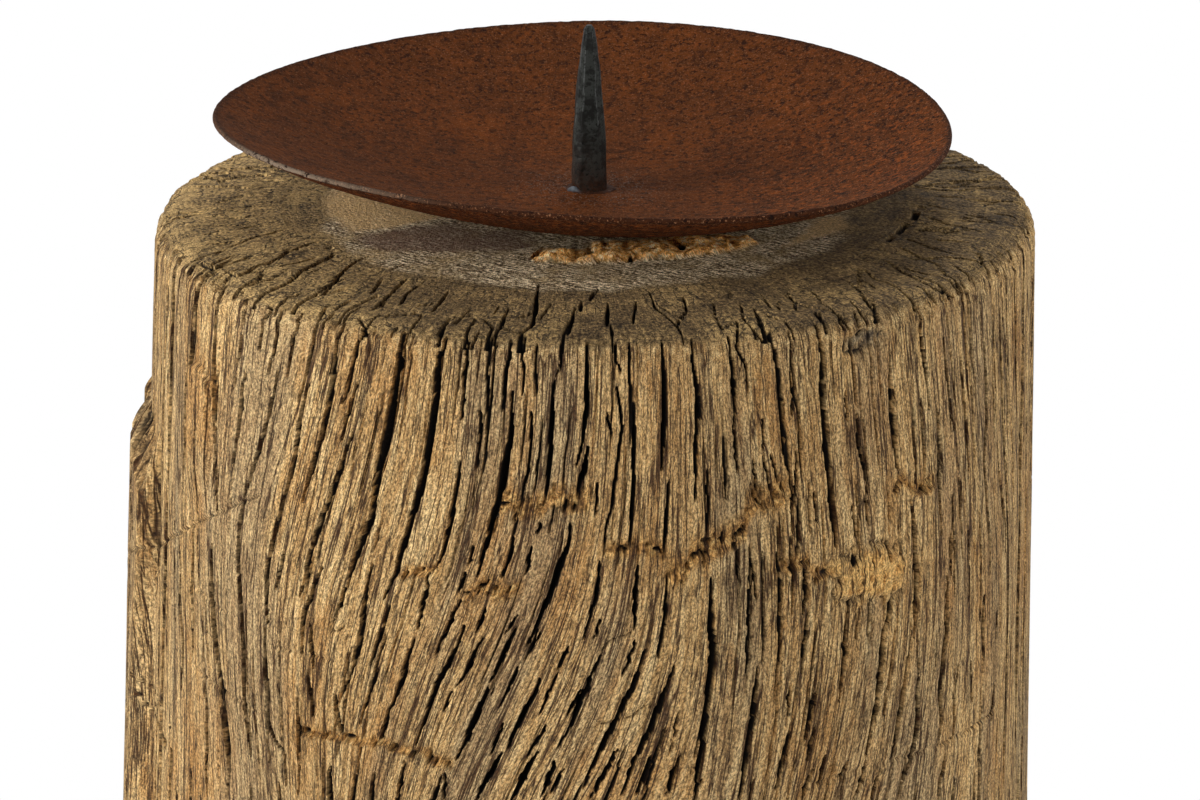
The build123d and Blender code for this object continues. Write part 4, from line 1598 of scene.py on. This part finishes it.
    def tear_scars(self) -> None:
        """Tears the scars, scores the thin lines and grows the knots."""
        rows = slice(self.first_side, self.first_side + len(self.side_levels) + 10)
        across, along = np.meshgrid(self.across, self.along[rows])
        crumbs = lattice_noise(31, across, along, (0.9, 1.1), self.lap)
        lumps = lattice_noise(32, across, along, (2.6, 2.0), self.lap)
        ragged = lattice_noise(33, across, along, (3.2, 90.0), self.lap, 4.0)
        scar = np.zeros(across.shape)
        for trace in SCARS:
            line = self.on_side(trace[1:])
            line = line[np.argsort(line[:, 0])]
            half = 0.8 * trace[0] / PIXELS_PER_MM
            ends = ease((across - line[0, 0] + 1.5) / 3.0) * ease((line[-1, 0] + 1.5 - across) / 3.0)
            rise = along - np.interp(across, line[:, 0], line[:, 1]) - 0.45 * half * ragged - 0.4 * crumbs
            torn = ends * ease((1.2 * half - rise) / (0.8 * half)) * ease((rise + 0.5 * half) / (0.4 * half))
            step = 0.6 * ease(0.5 - rise / 0.9) * np.exp(-np.clip(-rise, 0, None) / 7.0)
            step -= 0.5 * ease(0.5 + rise / 0.9) * np.exp(-np.clip(rise, 0, None) / 4.0)
            self.height[rows] += ends * step + torn * (0.65 * crumbs + 0.4 * lumps)
            gap = ends * np.exp(-((rise - 0.4) / 0.35) ** 2) * ease((-0.1 - lumps) / 0.5)
            self.cut[rows] *= 1 - 0.75 * torn
            self.cut[rows] = np.maximum(self.cut[rows], 1.5 * gap)
            self.cut[rows] = np.maximum(self.cut[rows], 1.1 * torn * ease((-crumbs - 0.5) / 0.25))
            scar = np.maximum(scar, torn)
        score = np.zeros(across.shape)
        for trace in SCORES:
            gap, _ = line_gap(across, along, self.on_side(trace[1:]))
            half = trace[0] / 2 / PIXELS_PER_MM
            score = np.maximum(score, 0.25 * trace[0] * np.exp(-(gap / max(half, 0.3)) ** 2))
        self.cut[rows] = np.maximum(self.cut[rows], score)
        pale, dark = np.zeros(across.shape), np.zeros(across.shape)
        for knot in KNOTS:
            left, right = self.on_side((knot.x - knot.width / 2, knot.y, knot.x + knot.width / 2, knot.y))
            middle = (left + right) / 2
            wide, tall = (right[0] - left[0]) / 2, knot.height / 2 / PIXELS_PER_MM
            out = np.hypot((across - middle[0]) / wide, (along - middle[1]) / tall)
            out = out + 0.28 * lumps + 0.14 * crumbs
            swell = ease((1 - out) / 0.45)
            self.height[rows] += knot.swell * swell + 0.45 * crumbs * swell
            if knot.kind is KnotKind.RING:
                self.cut[rows] = np.maximum(self.cut[rows], 0.8 * np.exp(-((out - 0.85) / 0.16) ** 2))
            if knot.kind is KnotKind.PALE:
                self.cut[rows] *= 1 - 0.9 * swell
                self.cut[rows] = np.maximum(self.cut[rows], 0.6 * swell * ease(1 - np.abs(lumps) / 0.07))
                outline = np.exp(-((out - 0.98) / 0.09) ** 2) * ease(0.6 + crumbs)
                self.cut[rows] = np.maximum(self.cut[rows], 0.8 * outline)
                pale = np.maximum(pale, swell)
            if knot.kind is KnotKind.DARK:
                outline = np.exp(-((out - 0.85) / 0.12) ** 2) * ease(0.5 + crumbs)
                self.cut[rows] = np.maximum(self.cut[rows], 1.1 * outline)
                dark = np.maximum(dark, swell * ease(0.75 + 0.6 * crumbs))
        (hole,) = self.on_side((854.0, 561.0))
        pit = np.hypot((across - hole[0]) / 0.65, (along - hole[1]) / 1.1)
        self.cut[rows] = np.maximum(self.cut[rows], 3.0 * ease(1.4 - pit))
        for name, values in (("scar", scar), ("knot", pale), ("dark_knot", dark)):
            whole = np.zeros(self.height.shape)
            whole[rows] = values
            self.marks[name] = whole

    def on_side(self, pixels: Trace) -> np.ndarray:
        """Returns the grain coordinates of traced pixels on the side."""
        turn, level = self.trunk.meet(self.view, points_of(pixels))
        return np.stack([self.grain_place(turn, level), level], 1)

    def roughen(self) -> None:
        """Adds the ribs and fibres of the side, the crumbled edge and the rough sawn top."""
        across, along = np.meshgrid(self.across, self.along)
        side = 1 - self.top[:, None]
        side = side * (along > 0)
        wander = across + 1.2 * lattice_noise(40, across, along, (5.0, 30.0), self.lap)
        self.height += side * (0.28 * lattice_noise(41, wander, along, (9.0, 90.0), self.lap, 3.0)
                               + 0.06 * lattice_noise(42, wander, along, (2.8, 60.0), self.lap, 3.0)
                               + 0.05 * lattice_noise(43, across, along, (1.0, 14.0), self.lap, 1.5))
        edge = np.exp(-((along - self.shoulder - 8) / 7.0) ** 2)
        self.marks["rim"] = edge
        nicks = lattice_noise(44, across, along, (2.2, 3.4), self.lap, 1.6)
        fine = lattice_noise(45, across, along, (0.9, 1.5), self.lap)
        self.height -= edge * (0.5 * np.clip(nicks, 0, 1) + 0.35 * np.clip(fine, -0.5, 1))
        x, y = self.base[:, :, 0], self.base[:, :, 1]
        ring = ((along > self.shoulder + 10) & (along < self.shoulder + 36)).astype(float)
        swells = 0.22 * lattice_noise(46, x, y, (5.0, 5.0))
        self.height += ring * (swells + 0.14 * lattice_noise(47, x, y, (1.1, 1.1)))
        milled = np.hypot(x - self.milled_middle[0], y - self.milled_middle[1])
        milled = milled + 2.2 * lattice_noise(48, x, y, (7.0, 7.0))
        # painted light: the top grows paler towards the left
        self.marks["painted_left_light"] = 0.7 * ease((-x - 25) / 45) * self.top[:, None]
        self.marks["seat"] = ease((self.milled_radius + 1.5 - milled) / 4.0) * (self.top[:, None] > 0.99)

    def mark_top(self) -> None:
        """Marks the painted pools of light, the dish's painted shadow and the crumbling strip on the top,
        and breaks up the strip.
        """
        rows = np.flatnonzero(self.top > 0.99)
        x, y = self.base[rows, :, 0], self.base[rows, :, 1]
        wander = 0.8 * lattice_noise(51, x, y, (2.2, 2.2))

        def patch(outline: Trace, soft: float) -> np.ndarray:
            """Returns 1 inside a traced outline, fading over a soft edge."""
            corners = self.view.on_level(points_of(outline), self.seat_level)
            return ease((inside_gap(x, y, corners) + wander + soft / 2) / soft)

        # painted pools of light under the dish's rim
        pale = np.maximum(patch(LIT_PATCHES[0], 3.0), patch(LIT_PATCHES[1], 2.0))
        dish_shadow = patch(DISH_SHADOW_PATCH, 4.0)
        strip = patch(CRUMB_STRIP, 1.2)
        blocks = lattice_noise(52, x, y, (2.6, 3.6))
        crumbs = lattice_noise(53, x, y, (1.2, 1.2))
        self.height[rows] += strip * (0.6 * blocks + 0.5 * crumbs + 1.0)
        self.cut[rows] = np.maximum(self.cut[rows], strip * 1.3 * ease((-blocks - 0.62) / 0.2))
        for name, values in (("patch", 0.8 * pale), ("dish_shadow", 0.75 * dish_shadow), ("crumb", strip)):
            whole = np.zeros(self.height.shape)
            whole[rows] = values
            self.marks[name] = whole

    def bare_normals(self) -> np.ndarray:
        """Returns the outward direction of the bare surface at each point of the grid."""
        round_step = np.roll(self.base, -1, 1) - np.roll(self.base, 1, 1)
        up_step = np.gradient(self.base, axis=0)
        normal = np.cross(round_step, up_step)
        return normal / np.maximum(np.linalg.norm(normal, axis=2, keepdims=True), 1e-9)

    def build(self, finish: bpy.types.Material) -> None:
        """Builds and dresses the post.

        Args:
            finish: material of the timber.
        """
        self.raise_flake()
        self.open_side_checks()
        self.open_top_checks()
        self.tear_scars()
        self.roughen()
        self.mark_top()
        move = self.height - self.cut - self.lip_drop * self.lip
        move[:self.first_side] = 0
        move[self.last_top - 4:] = 0
        points = self.base + self.bare_normals() * move[:, :, None]
        rows, columns = self.height.shape
        foot = np.array([[self.trunk.middle(0.0), 0.0, 0.0]])
        end = np.array([[0.0, 0.0, self.seat_level - self.socket_depth]])
        points = np.concatenate([points.reshape(-1, 3), foot, end])
        faces = [band_faces(rows, columns), fan_faces(0, columns, rows * columns, False),
                 fan_faces((rows - 1) * columns, columns, rows * columns + 1, True)]
        unit = self.unit * MM
        turn = np.broadcast_to(self.columns, self.height.shape)
        length = np.broadcast_to(self.along[:, None] * MM, self.height.shape)
        grain = np.stack([unit * np.sin(turn), unit * np.cos(turn), length], -1).reshape(-1, 3)
        # painted shade mask: the deeper the cut, the darker its colour
        self.marks["check_shade"] = np.clip(self.cut / 2.6, 0, 1)
        self.marks["top"] = np.broadcast_to(self.top[:, None], self.height.shape)
        marks = {name: np.concatenate([values.ravel(), [0.0, 0.0]]) for name, values in self.marks.items()}
        marks["grain"] = np.concatenate([grain, foot * MM, end * MM])
        piece = make_piece("timber_post", points, faces, marks, 55.0)
        settle(piece, Body.POST, "post", finish)


@dataclass
class DripDish:
    """The drip dish: flat floor, arched wall and square-cut rim, tilted and a little warped."""

    mouth_radius: float = 74.3
    floor_radius: float = 20.0
    depth: float = 15.0
    sheet: float = 1.8
    tilt: float = math.radians(2.3)
    level: float = 300.14
    hole_radius: float = 4.15
    rim_round: float = 0.4
    rim_sheet: float = 1.0
    wall_swell: float = 0.8
    lift: float = 0.5
    right_lift: float = 1.3
    rear_lift: float = 0.3
    warp: float = 0.7
    twist: float = 1.6
    shift: float = -2.0
    columns: int = 720
    wall_rows: int = 62

    def profile(self) -> tuple[np.ndarray, np.ndarray]:
        """Section of the dish, from the hole out along the underside and back along the inside.

        Returns:
            Radius and height of each point, and 1 for points of the underside.
        """
        angle = 2 * math.atan2(self.depth, self.mouth_radius - self.floor_radius)
        inner = (self.mouth_radius - self.floor_radius) / math.sin(angle)
        outer = inner + self.rim_sheet
        middle = np.array([self.floor_radius, self.sheet + inner])
        thin = self.sheet - self.rim_sheet
        flat = np.linspace(self.hole_radius, self.floor_radius, 18)[:-1]
        sweep = np.linspace(0, angle - self.rim_round / outer, self.wall_rows)
        under = np.concatenate([
            np.stack([flat, np.zeros(len(flat))], 1),
            middle + outer * np.stack([np.sin(sweep), -np.cos(sweep)], 1)
            - np.stack([np.zeros(len(sweep)), thin * (1 - ease(sweep / angle / 0.6))], 1)])
        across = np.array([math.sin(angle), -math.cos(angle)])
        out = np.array([math.cos(angle), math.sin(angle)])
        rim = []
        for corner, start in ((outer - self.rim_round, 0.0), (inner + self.rim_round, math.pi / 2)):
            for step in range(1, 5):
                bend = start + step * math.pi / 8
                reach = self.rim_round * (math.sin(bend) - 1)
                rim.append(middle + across * (corner + self.rim_round * math.cos(bend)) + out * reach)
        inside = np.concatenate([
            (middle + inner * np.stack([np.sin(sweep), -np.cos(sweep)], 1))[::-1],
            np.stack([flat[::-1], np.full(len(flat), self.sheet)], 1)])
        section = np.concatenate([under, np.array(rim), inside])
        below = np.concatenate([np.ones(len(under)), np.full(len(rim), 0.5), np.zeros(len(inside))])
        return section, below

    def build(self, finish: bpy.types.Material) -> None:
        """Builds and dresses the dish.

        Args:
            finish: material of the rusted sheet.
        """
        section, below = self.profile()
        turn = np.linspace(0, 2 * math.pi, self.columns, endpoint=False)
        radius, turn_grid = np.meshgrid(section[:, 0], turn, indexing="ij")
        height = np.repeat(section[:, 1][:, None], self.columns, 1)
        under = np.repeat(below[:, None], self.columns, 1)
        angle = turn_grid - math.pi / 2
        x, y = radius * np.sin(turn_grid), -radius * np.cos(turn_grid)
        span = self.mouth_radius - self.floor_radius
        share = np.clip((radius - self.floor_radius) / span, 0, 1.1) ** 1.2
        bend = share * (self.lift + self.right_lift * np.cos(angle) + self.rear_lift * np.sin(angle)
                        - self.warp * np.cos(2 * angle) + self.twist * np.sin(2 * angle))
        x = x + self.shift * share
        beat = 0.35 * share * lattice_noise(61, turn_grid * 60, radius, (36.0, 25.0), 2 * math.pi * 60)
        pits = 0.09 * lattice_noise(62, x, y, (1.7, 1.7)) + 0.09 * lattice_noise(63, x, y, (0.8, 0.8))
        quiet = (radius > self.hole_radius + 0.3)
        swell = self.wall_swell * np.sin(math.pi * np.clip(share, 0, 1) ** (1 / 1.2))
        height = height + bend + beat + swell + quiet * pits * np.where(under > 0.4, 0.7, 1.0)
        points = np.stack([x * math.cos(self.tilt) + height * math.sin(self.tilt), y,
                           self.level + height * math.cos(self.tilt) - x * math.sin(self.tilt)], -1)
        rows = len(section)
        quads = band_faces(rows, self.columns)
        column = np.arange(self.columns)
        after = (column + 1) % self.columns
        last = (rows - 1) * self.columns
        closing = np.stack([last + column, last + after, after, column], -1)
        rim = np.exp(-((radius - self.mouth_radius - 0.3) / 0.45) ** 2) * (under < 0.6)
        left = np.exp(-((angle - math.radians(220)) / 0.32) ** 2)
        left = np.maximum(left, np.exp(-((angle + 2 * math.pi - math.radians(220)) / 0.32) ** 2))
        patchy = 0.6 + 0.4 * lattice_noise(64, turn_grid * 60, radius, (9.0, 3.0), 2 * math.pi * 60)
        worn = rim * np.clip(0.9 * left, 0, 1) * patchy
        edge = np.exp(-((radius - self.mouth_radius) / 0.9) ** 2)
        halo = np.exp(-((radius - 8.0) / 6.0) ** 2) * (under < 0.4)
        fresh = 0.45 * np.exp(-((x + 22) ** 2 + (y - 33) ** 2) / 81) * (under < 0.4)
        front_right = 0.5 + 0.5 * np.cos(angle - math.radians(-40))
        pitted = np.maximum(front_right ** 2 * ease((radius - 10) / 50), under > 0.4)
        marks = {"under": (under > 0.7).astype(float).ravel(), "worn": np.clip(worn, 0, 1).ravel(),
                 "halo": halo.ravel(), "edge": edge.ravel(), "pitted": pitted.ravel(),
                 "fresh": fresh.ravel()}
        piece = make_piece("rusted_dish", points.reshape(-1, 3), [quads, closing], marks, 50.0)
        settle(piece, Body.DISH, "drip_dish", finish)


@dataclass
class PricketSpike:
    """The forged spike, eight uneven hammered faces drawn to a blunt tip, with its round tang."""

    floor_level: float = 301.94
    seat_level: float = 299.2
    widths: tuple[tuple[float, float], ...] = (
        (0.0, 7.4), (10.0, 6.7), (17.5, 5.8), (24.0, 4.6), (30.0, 3.3), (33.3, 2.1), (34.0, 1.1))
    faces: tuple[tuple[float, float], ...] = (
        (-84, 0.97), (-44, 1.01), (2, 0.92), (50, 0.97), (96, 0.97), (142, 1.0), (186, 0.95), (232, 1.0))
    tang_radius: float = 3.5
    tang_length: float = 50.0
    point_length: float = 8.0
    point_radius: float = 1.5
    shank_drop: float = 0.4
    facet_power: int = 36
    columns: int = 96
    rows: int = 90
    seed: int = 9

    def build(self, finish: bpy.types.Material) -> None:
        """Builds and dresses the spike.

        Args:
            finish: material of the forged steel.
        """
        rng = np.random.default_rng(self.seed)
        turn = np.linspace(0, 2 * math.pi, self.columns, endpoint=False)
        tang_end = self.seat_level - self.tang_length
        rings, highlights, feet = [], [], []

        def ring(radius: np.ndarray | float, level: float, ridge: np.ndarray | float, foot: float) -> None:
            """Lays one ring of points, with the painted highlight on its ridges and how near the foot it is.
            """
            circle = np.broadcast_arrays(radius * np.sin(turn), -radius * np.cos(turn), level)
            rings.append(np.stack(circle, -1))
            highlights.append(np.broadcast_to(ridge, turn.shape))
            feet.append(np.full(len(turn), foot))

        ring(self.point_radius, tang_end, 0.0, 1.0)
        for level in (tang_end + self.point_length, self.seat_level, self.floor_level - self.shank_drop):
            ring(self.tang_radius, level, 0.0, 1.0)
        blows = rng.normal(0, 0.03, (len(self.faces), 12))
        drift = rng.normal(0, 3.0, (len(self.faces), 6))
        heights, widths = np.array(self.widths).T
        for height in np.linspace(0, heights[-1], self.rows):
            width = np.interp(height, heights, widths)
            pulls = []
            for (angle, share), face_blows, face_drift in zip(self.faces, blows, drift):
                blow = np.interp(height, np.linspace(0, heights[-1], 12), face_blows)
                lean = angle + np.interp(height, np.linspace(0, heights[-1], 6), face_drift)
                reach = width / 2 * share * (1 + blow)
                pulls.append(np.clip(np.cos(turn - math.radians(lean)), 0, 1) / reach)
            pulls = np.sort(np.array(pulls), 0)
            radius = np.sum(np.array(pulls) ** self.facet_power, 0) ** (-1 / self.facet_power)
            ridge = np.clip(1 - (pulls[-1] / pulls[-2] - 1) / 0.035, 0, 1)
            waves = 0.45 + 0.55 * math.sin(height * 1.1 + 1.0) ** 2
            # painted highlight on the ridges, from 9 mm up, in bands along the height
            highlight_share = 0.6 * ease(np.array((height - 9) / 8)) * waves
            ring(radius, self.floor_level + height, highlight_share * ridge, math.exp(-height / 4.0))
        points = np.concatenate([np.array(rings).reshape(-1, 3), [[0, 0, tang_end]],
                                 [[0, 0, self.floor_level + heights[-1]]]])
        count = len(rings)
        faces = [band_faces(count, self.columns), fan_faces(0, self.columns, count * self.columns, False),
                 fan_faces((count - 1) * self.columns, self.columns, count * self.columns + 1, True)]
        marks = {"ridge": np.concatenate([np.array(highlights).ravel(), [0, 0.5]]),
                 "foot": np.concatenate([np.array(feet).ravel(), [1, 0]])}
        piece = make_piece("forged_spike", points, faces, marks, 40.0)
        settle(piece, Body.DISH, "pricket_spike", finish)


@dataclass
class WeldBead:
    """The weld round the spike's foot: a low uneven ring with one pale bead at the front left."""

    floor_level: float = 301.94
    tilt: float = math.radians(2.3)
    inner_radius: float = 3.2
    outer_radius: float = 4.9
    ring_height: float = 0.28
    bead_turn: float = math.radians(-46)
    bead_height: float = 0.9
    bead_reach: float = 0.8
    root: float = 0.5
    columns: int = 144
    rows: int = 18

    def build(self, finish: bpy.types.Material) -> None:
        """Builds and dresses the weld.

        Args:
            finish: material of the weld metal.
        """
        turn = np.linspace(0, 2 * math.pi, self.columns, endpoint=False)
        away = (turn - self.bead_turn + math.pi) % (2 * math.pi) - math.pi
        bead = np.exp(-(away / 0.24) ** 2)
        flat = np.zeros(len(turn))
        wave = lattice_noise(71, turn * 10, flat, (6.0, 1.0), 2 * math.pi * 10)
        ripple = lattice_noise(72, turn * 10, flat, (1.6, 1.0), 2 * math.pi * 10)
        rise = self.ring_height * (1 + 0.6 * wave + 0.35 * ripple) + self.bead_height * bead
        out = self.outer_radius + 0.7 * wave + 0.3 * ripple + self.bead_reach * bead
        loop = np.linspace(0, 2 * math.pi, self.rows, endpoint=False)
        rings, beads = [], []
        for place in loop:
            middle, half = (out + self.inner_radius) / 2, (out - self.inner_radius) / 2
            radius = middle - half * math.cos(place)
            lift = -math.sin(place)
            level = np.where(lift > 0, rise * lift, self.root * lift)
            x = radius * np.sin(turn)
            level = self.floor_level + level - x * math.tan(self.tilt)
            rings.append(np.stack([x, -radius * np.cos(turn), level], -1))
            beads.append(bead * np.clip(lift + 0.4, 0, 1))
        quads = band_faces(self.rows, self.columns)
        column = np.arange(self.columns)
        after = (column + 1) % self.columns
        last = (self.rows - 1) * self.columns
        closing = np.stack([last + column, last + after, after, column], -1)
        marks = {"bead": np.clip(np.array(beads), 0, 1).ravel()}
        piece = make_piece("spike_weld", np.array(rings).reshape(-1, 3), [quads, closing], marks, 60.0)
        settle(piece, Body.DISH, "weld_bead", finish)


@dataclass(frozen=True)
class Softbox:
    """A square soft lamp that looks at the post."""

    name: str
    turn: float
    elevation: float
    distance: float
    size: float
    level: float

    def make(self, target: tuple[float, float, float]) -> None:
        """Hangs the lamp, with a level of 1 for light that shows a colour as it is written.

        Args:
            target: point in metres that the lamp looks at.
        """
        data = bpy.data.lights.new(self.name, "AREA")
        data.size = self.size
        data.energy = self.level * math.pi ** 2 * self.distance ** 2
        turn, elevation = math.radians(self.turn), math.radians(self.elevation)
        back = np.array([math.sin(turn) * math.cos(elevation), -math.cos(turn) * math.cos(elevation),
                         math.sin(elevation)])
        lamp = bpy.data.objects.new(self.name, data)
        lamp.location = np.array(target) + back * self.distance
        bpy.context.scene.collection.objects.link(lamp)
        lamp.rotation_euler = (math.pi / 2 - elevation, 0.0, turn)


@dataclass
class Studio:
    """Pale floor, white surround and soft lamps, the brightest one from the left."""

    floor_radius: float = 4.0
    floor_colour: Colour = (232, 231, 229)
    fade_from: float = 0.16
    fade_to: float = 0.42
    ambient: float = 0.17
    target: tuple[float, float, float] = (0.0, 0.0, 0.25)
    lamps: tuple[Softbox, ...] = (
        Softbox("left_lamp", -68, 22, 1.3, 0.55, 1.1),
        Softbox("right_lamp", 74, 10, 1.3, 0.7, 0.58),
        Softbox("front_lamp", -16, 6, 1.5, 0.5, 0.18),
        Softbox("high_lamp", 172, 50, 1.5, 0.6, 0.32),
    )

    def build(self) -> None:
        """Lights the stand and lays the floor."""
        for lamp in self.lamps:
            lamp.make(self.target)
        self.surround()
        self.floor()

    def seen_rays(self, sheet: NodeSheet) -> bpy.types.NodeSocket:
        """Returns 1 on rays that show the background and 0 on rays that only carry light."""
        path = sheet.node("ShaderNodeLightPath")
        either = sheet.sum("MAXIMUM", path.outputs["Is Camera Ray"], path.outputs["Is Glossy Ray"])
        return sheet.sum("MAXIMUM", either, path.outputs["Is Transmission Ray"])

    def surround(self) -> None:
        """Makes a world that is white to look at and gives a little light from all round."""
        world = bpy.data.worlds.new("surround")
        bpy.context.scene.world = world
        world.use_nodes = True
        sheet = NodeSheet(world.node_tree)
        background = world.node_tree.nodes["Background"]
        background.inputs["Color"].default_value = (1, 1, 1, 1)
        strength = sheet.level(self.seen_rays(sheet), 0.0, 1.0, self.ambient, 1.0)
        sheet.feed(background.inputs["Strength"], strength)

    def floor(self) -> None:
        """Lays a round floor that keeps the shadow near the post and fades to white further out."""
        turn = np.linspace(0, 2 * math.pi, 96, endpoint=False)
        ring = self.floor_radius / MM * np.stack([np.cos(turn), np.sin(turn), np.zeros(96)], -1)
        points = np.concatenate([ring, [[0.0, 0.0, 0.0]]])
        piece = make_piece("floor", points, [fan_faces(0, 96, 96, True)], {}, 60.0)
        material, sheet, surface = new_material("pale floor")
        surface.inputs["Base Color"].default_value = linear(self.floor_colour)
        surface.inputs["Roughness"].default_value = 0.9
        surface.inputs["Specular IOR Level"].default_value = 0.1
        far = sheet.node("ShaderNodeVectorMath", operation="LENGTH")
        sheet.feed(far.inputs[0], sheet.place())
        fade = sheet.level(far.outputs["Value"], self.fade_from, self.fade_to)
        glow = sheet.node("ShaderNodeEmission")
        blend = sheet.node("ShaderNodeMixShader")
        sheet.feed(blend.inputs[0], sheet.sum("MULTIPLY", fade, self.seen_rays(sheet)))
        sheet.feed(blend.inputs[1], surface.outputs[0])
        sheet.feed(blend.inputs[2], glow.outputs[0])
        sheet.feed(material.node_tree.nodes["Material Output"].inputs["Surface"], blend.outputs[0])
        piece.data.materials.append(material)


def main() -> None:
    """Builds the stand piece by piece, then the view and the light."""
    logging.basicConfig(level=logging.INFO, format="%(name)s: %(message)s")
    view = PhotoView()
    view.make()
    TimberPost(view).build(WeatheredTimber().make())
    DripDish().build(RustedSheet().make())
    PricketSpike().build(ForgedSteel().make())
    WeldBead().build(WeldMetal().make())
    Studio().build()
    bpy.context.scene.view_settings.view_transform = "Standard"


if __name__ == "__main__":
    main()
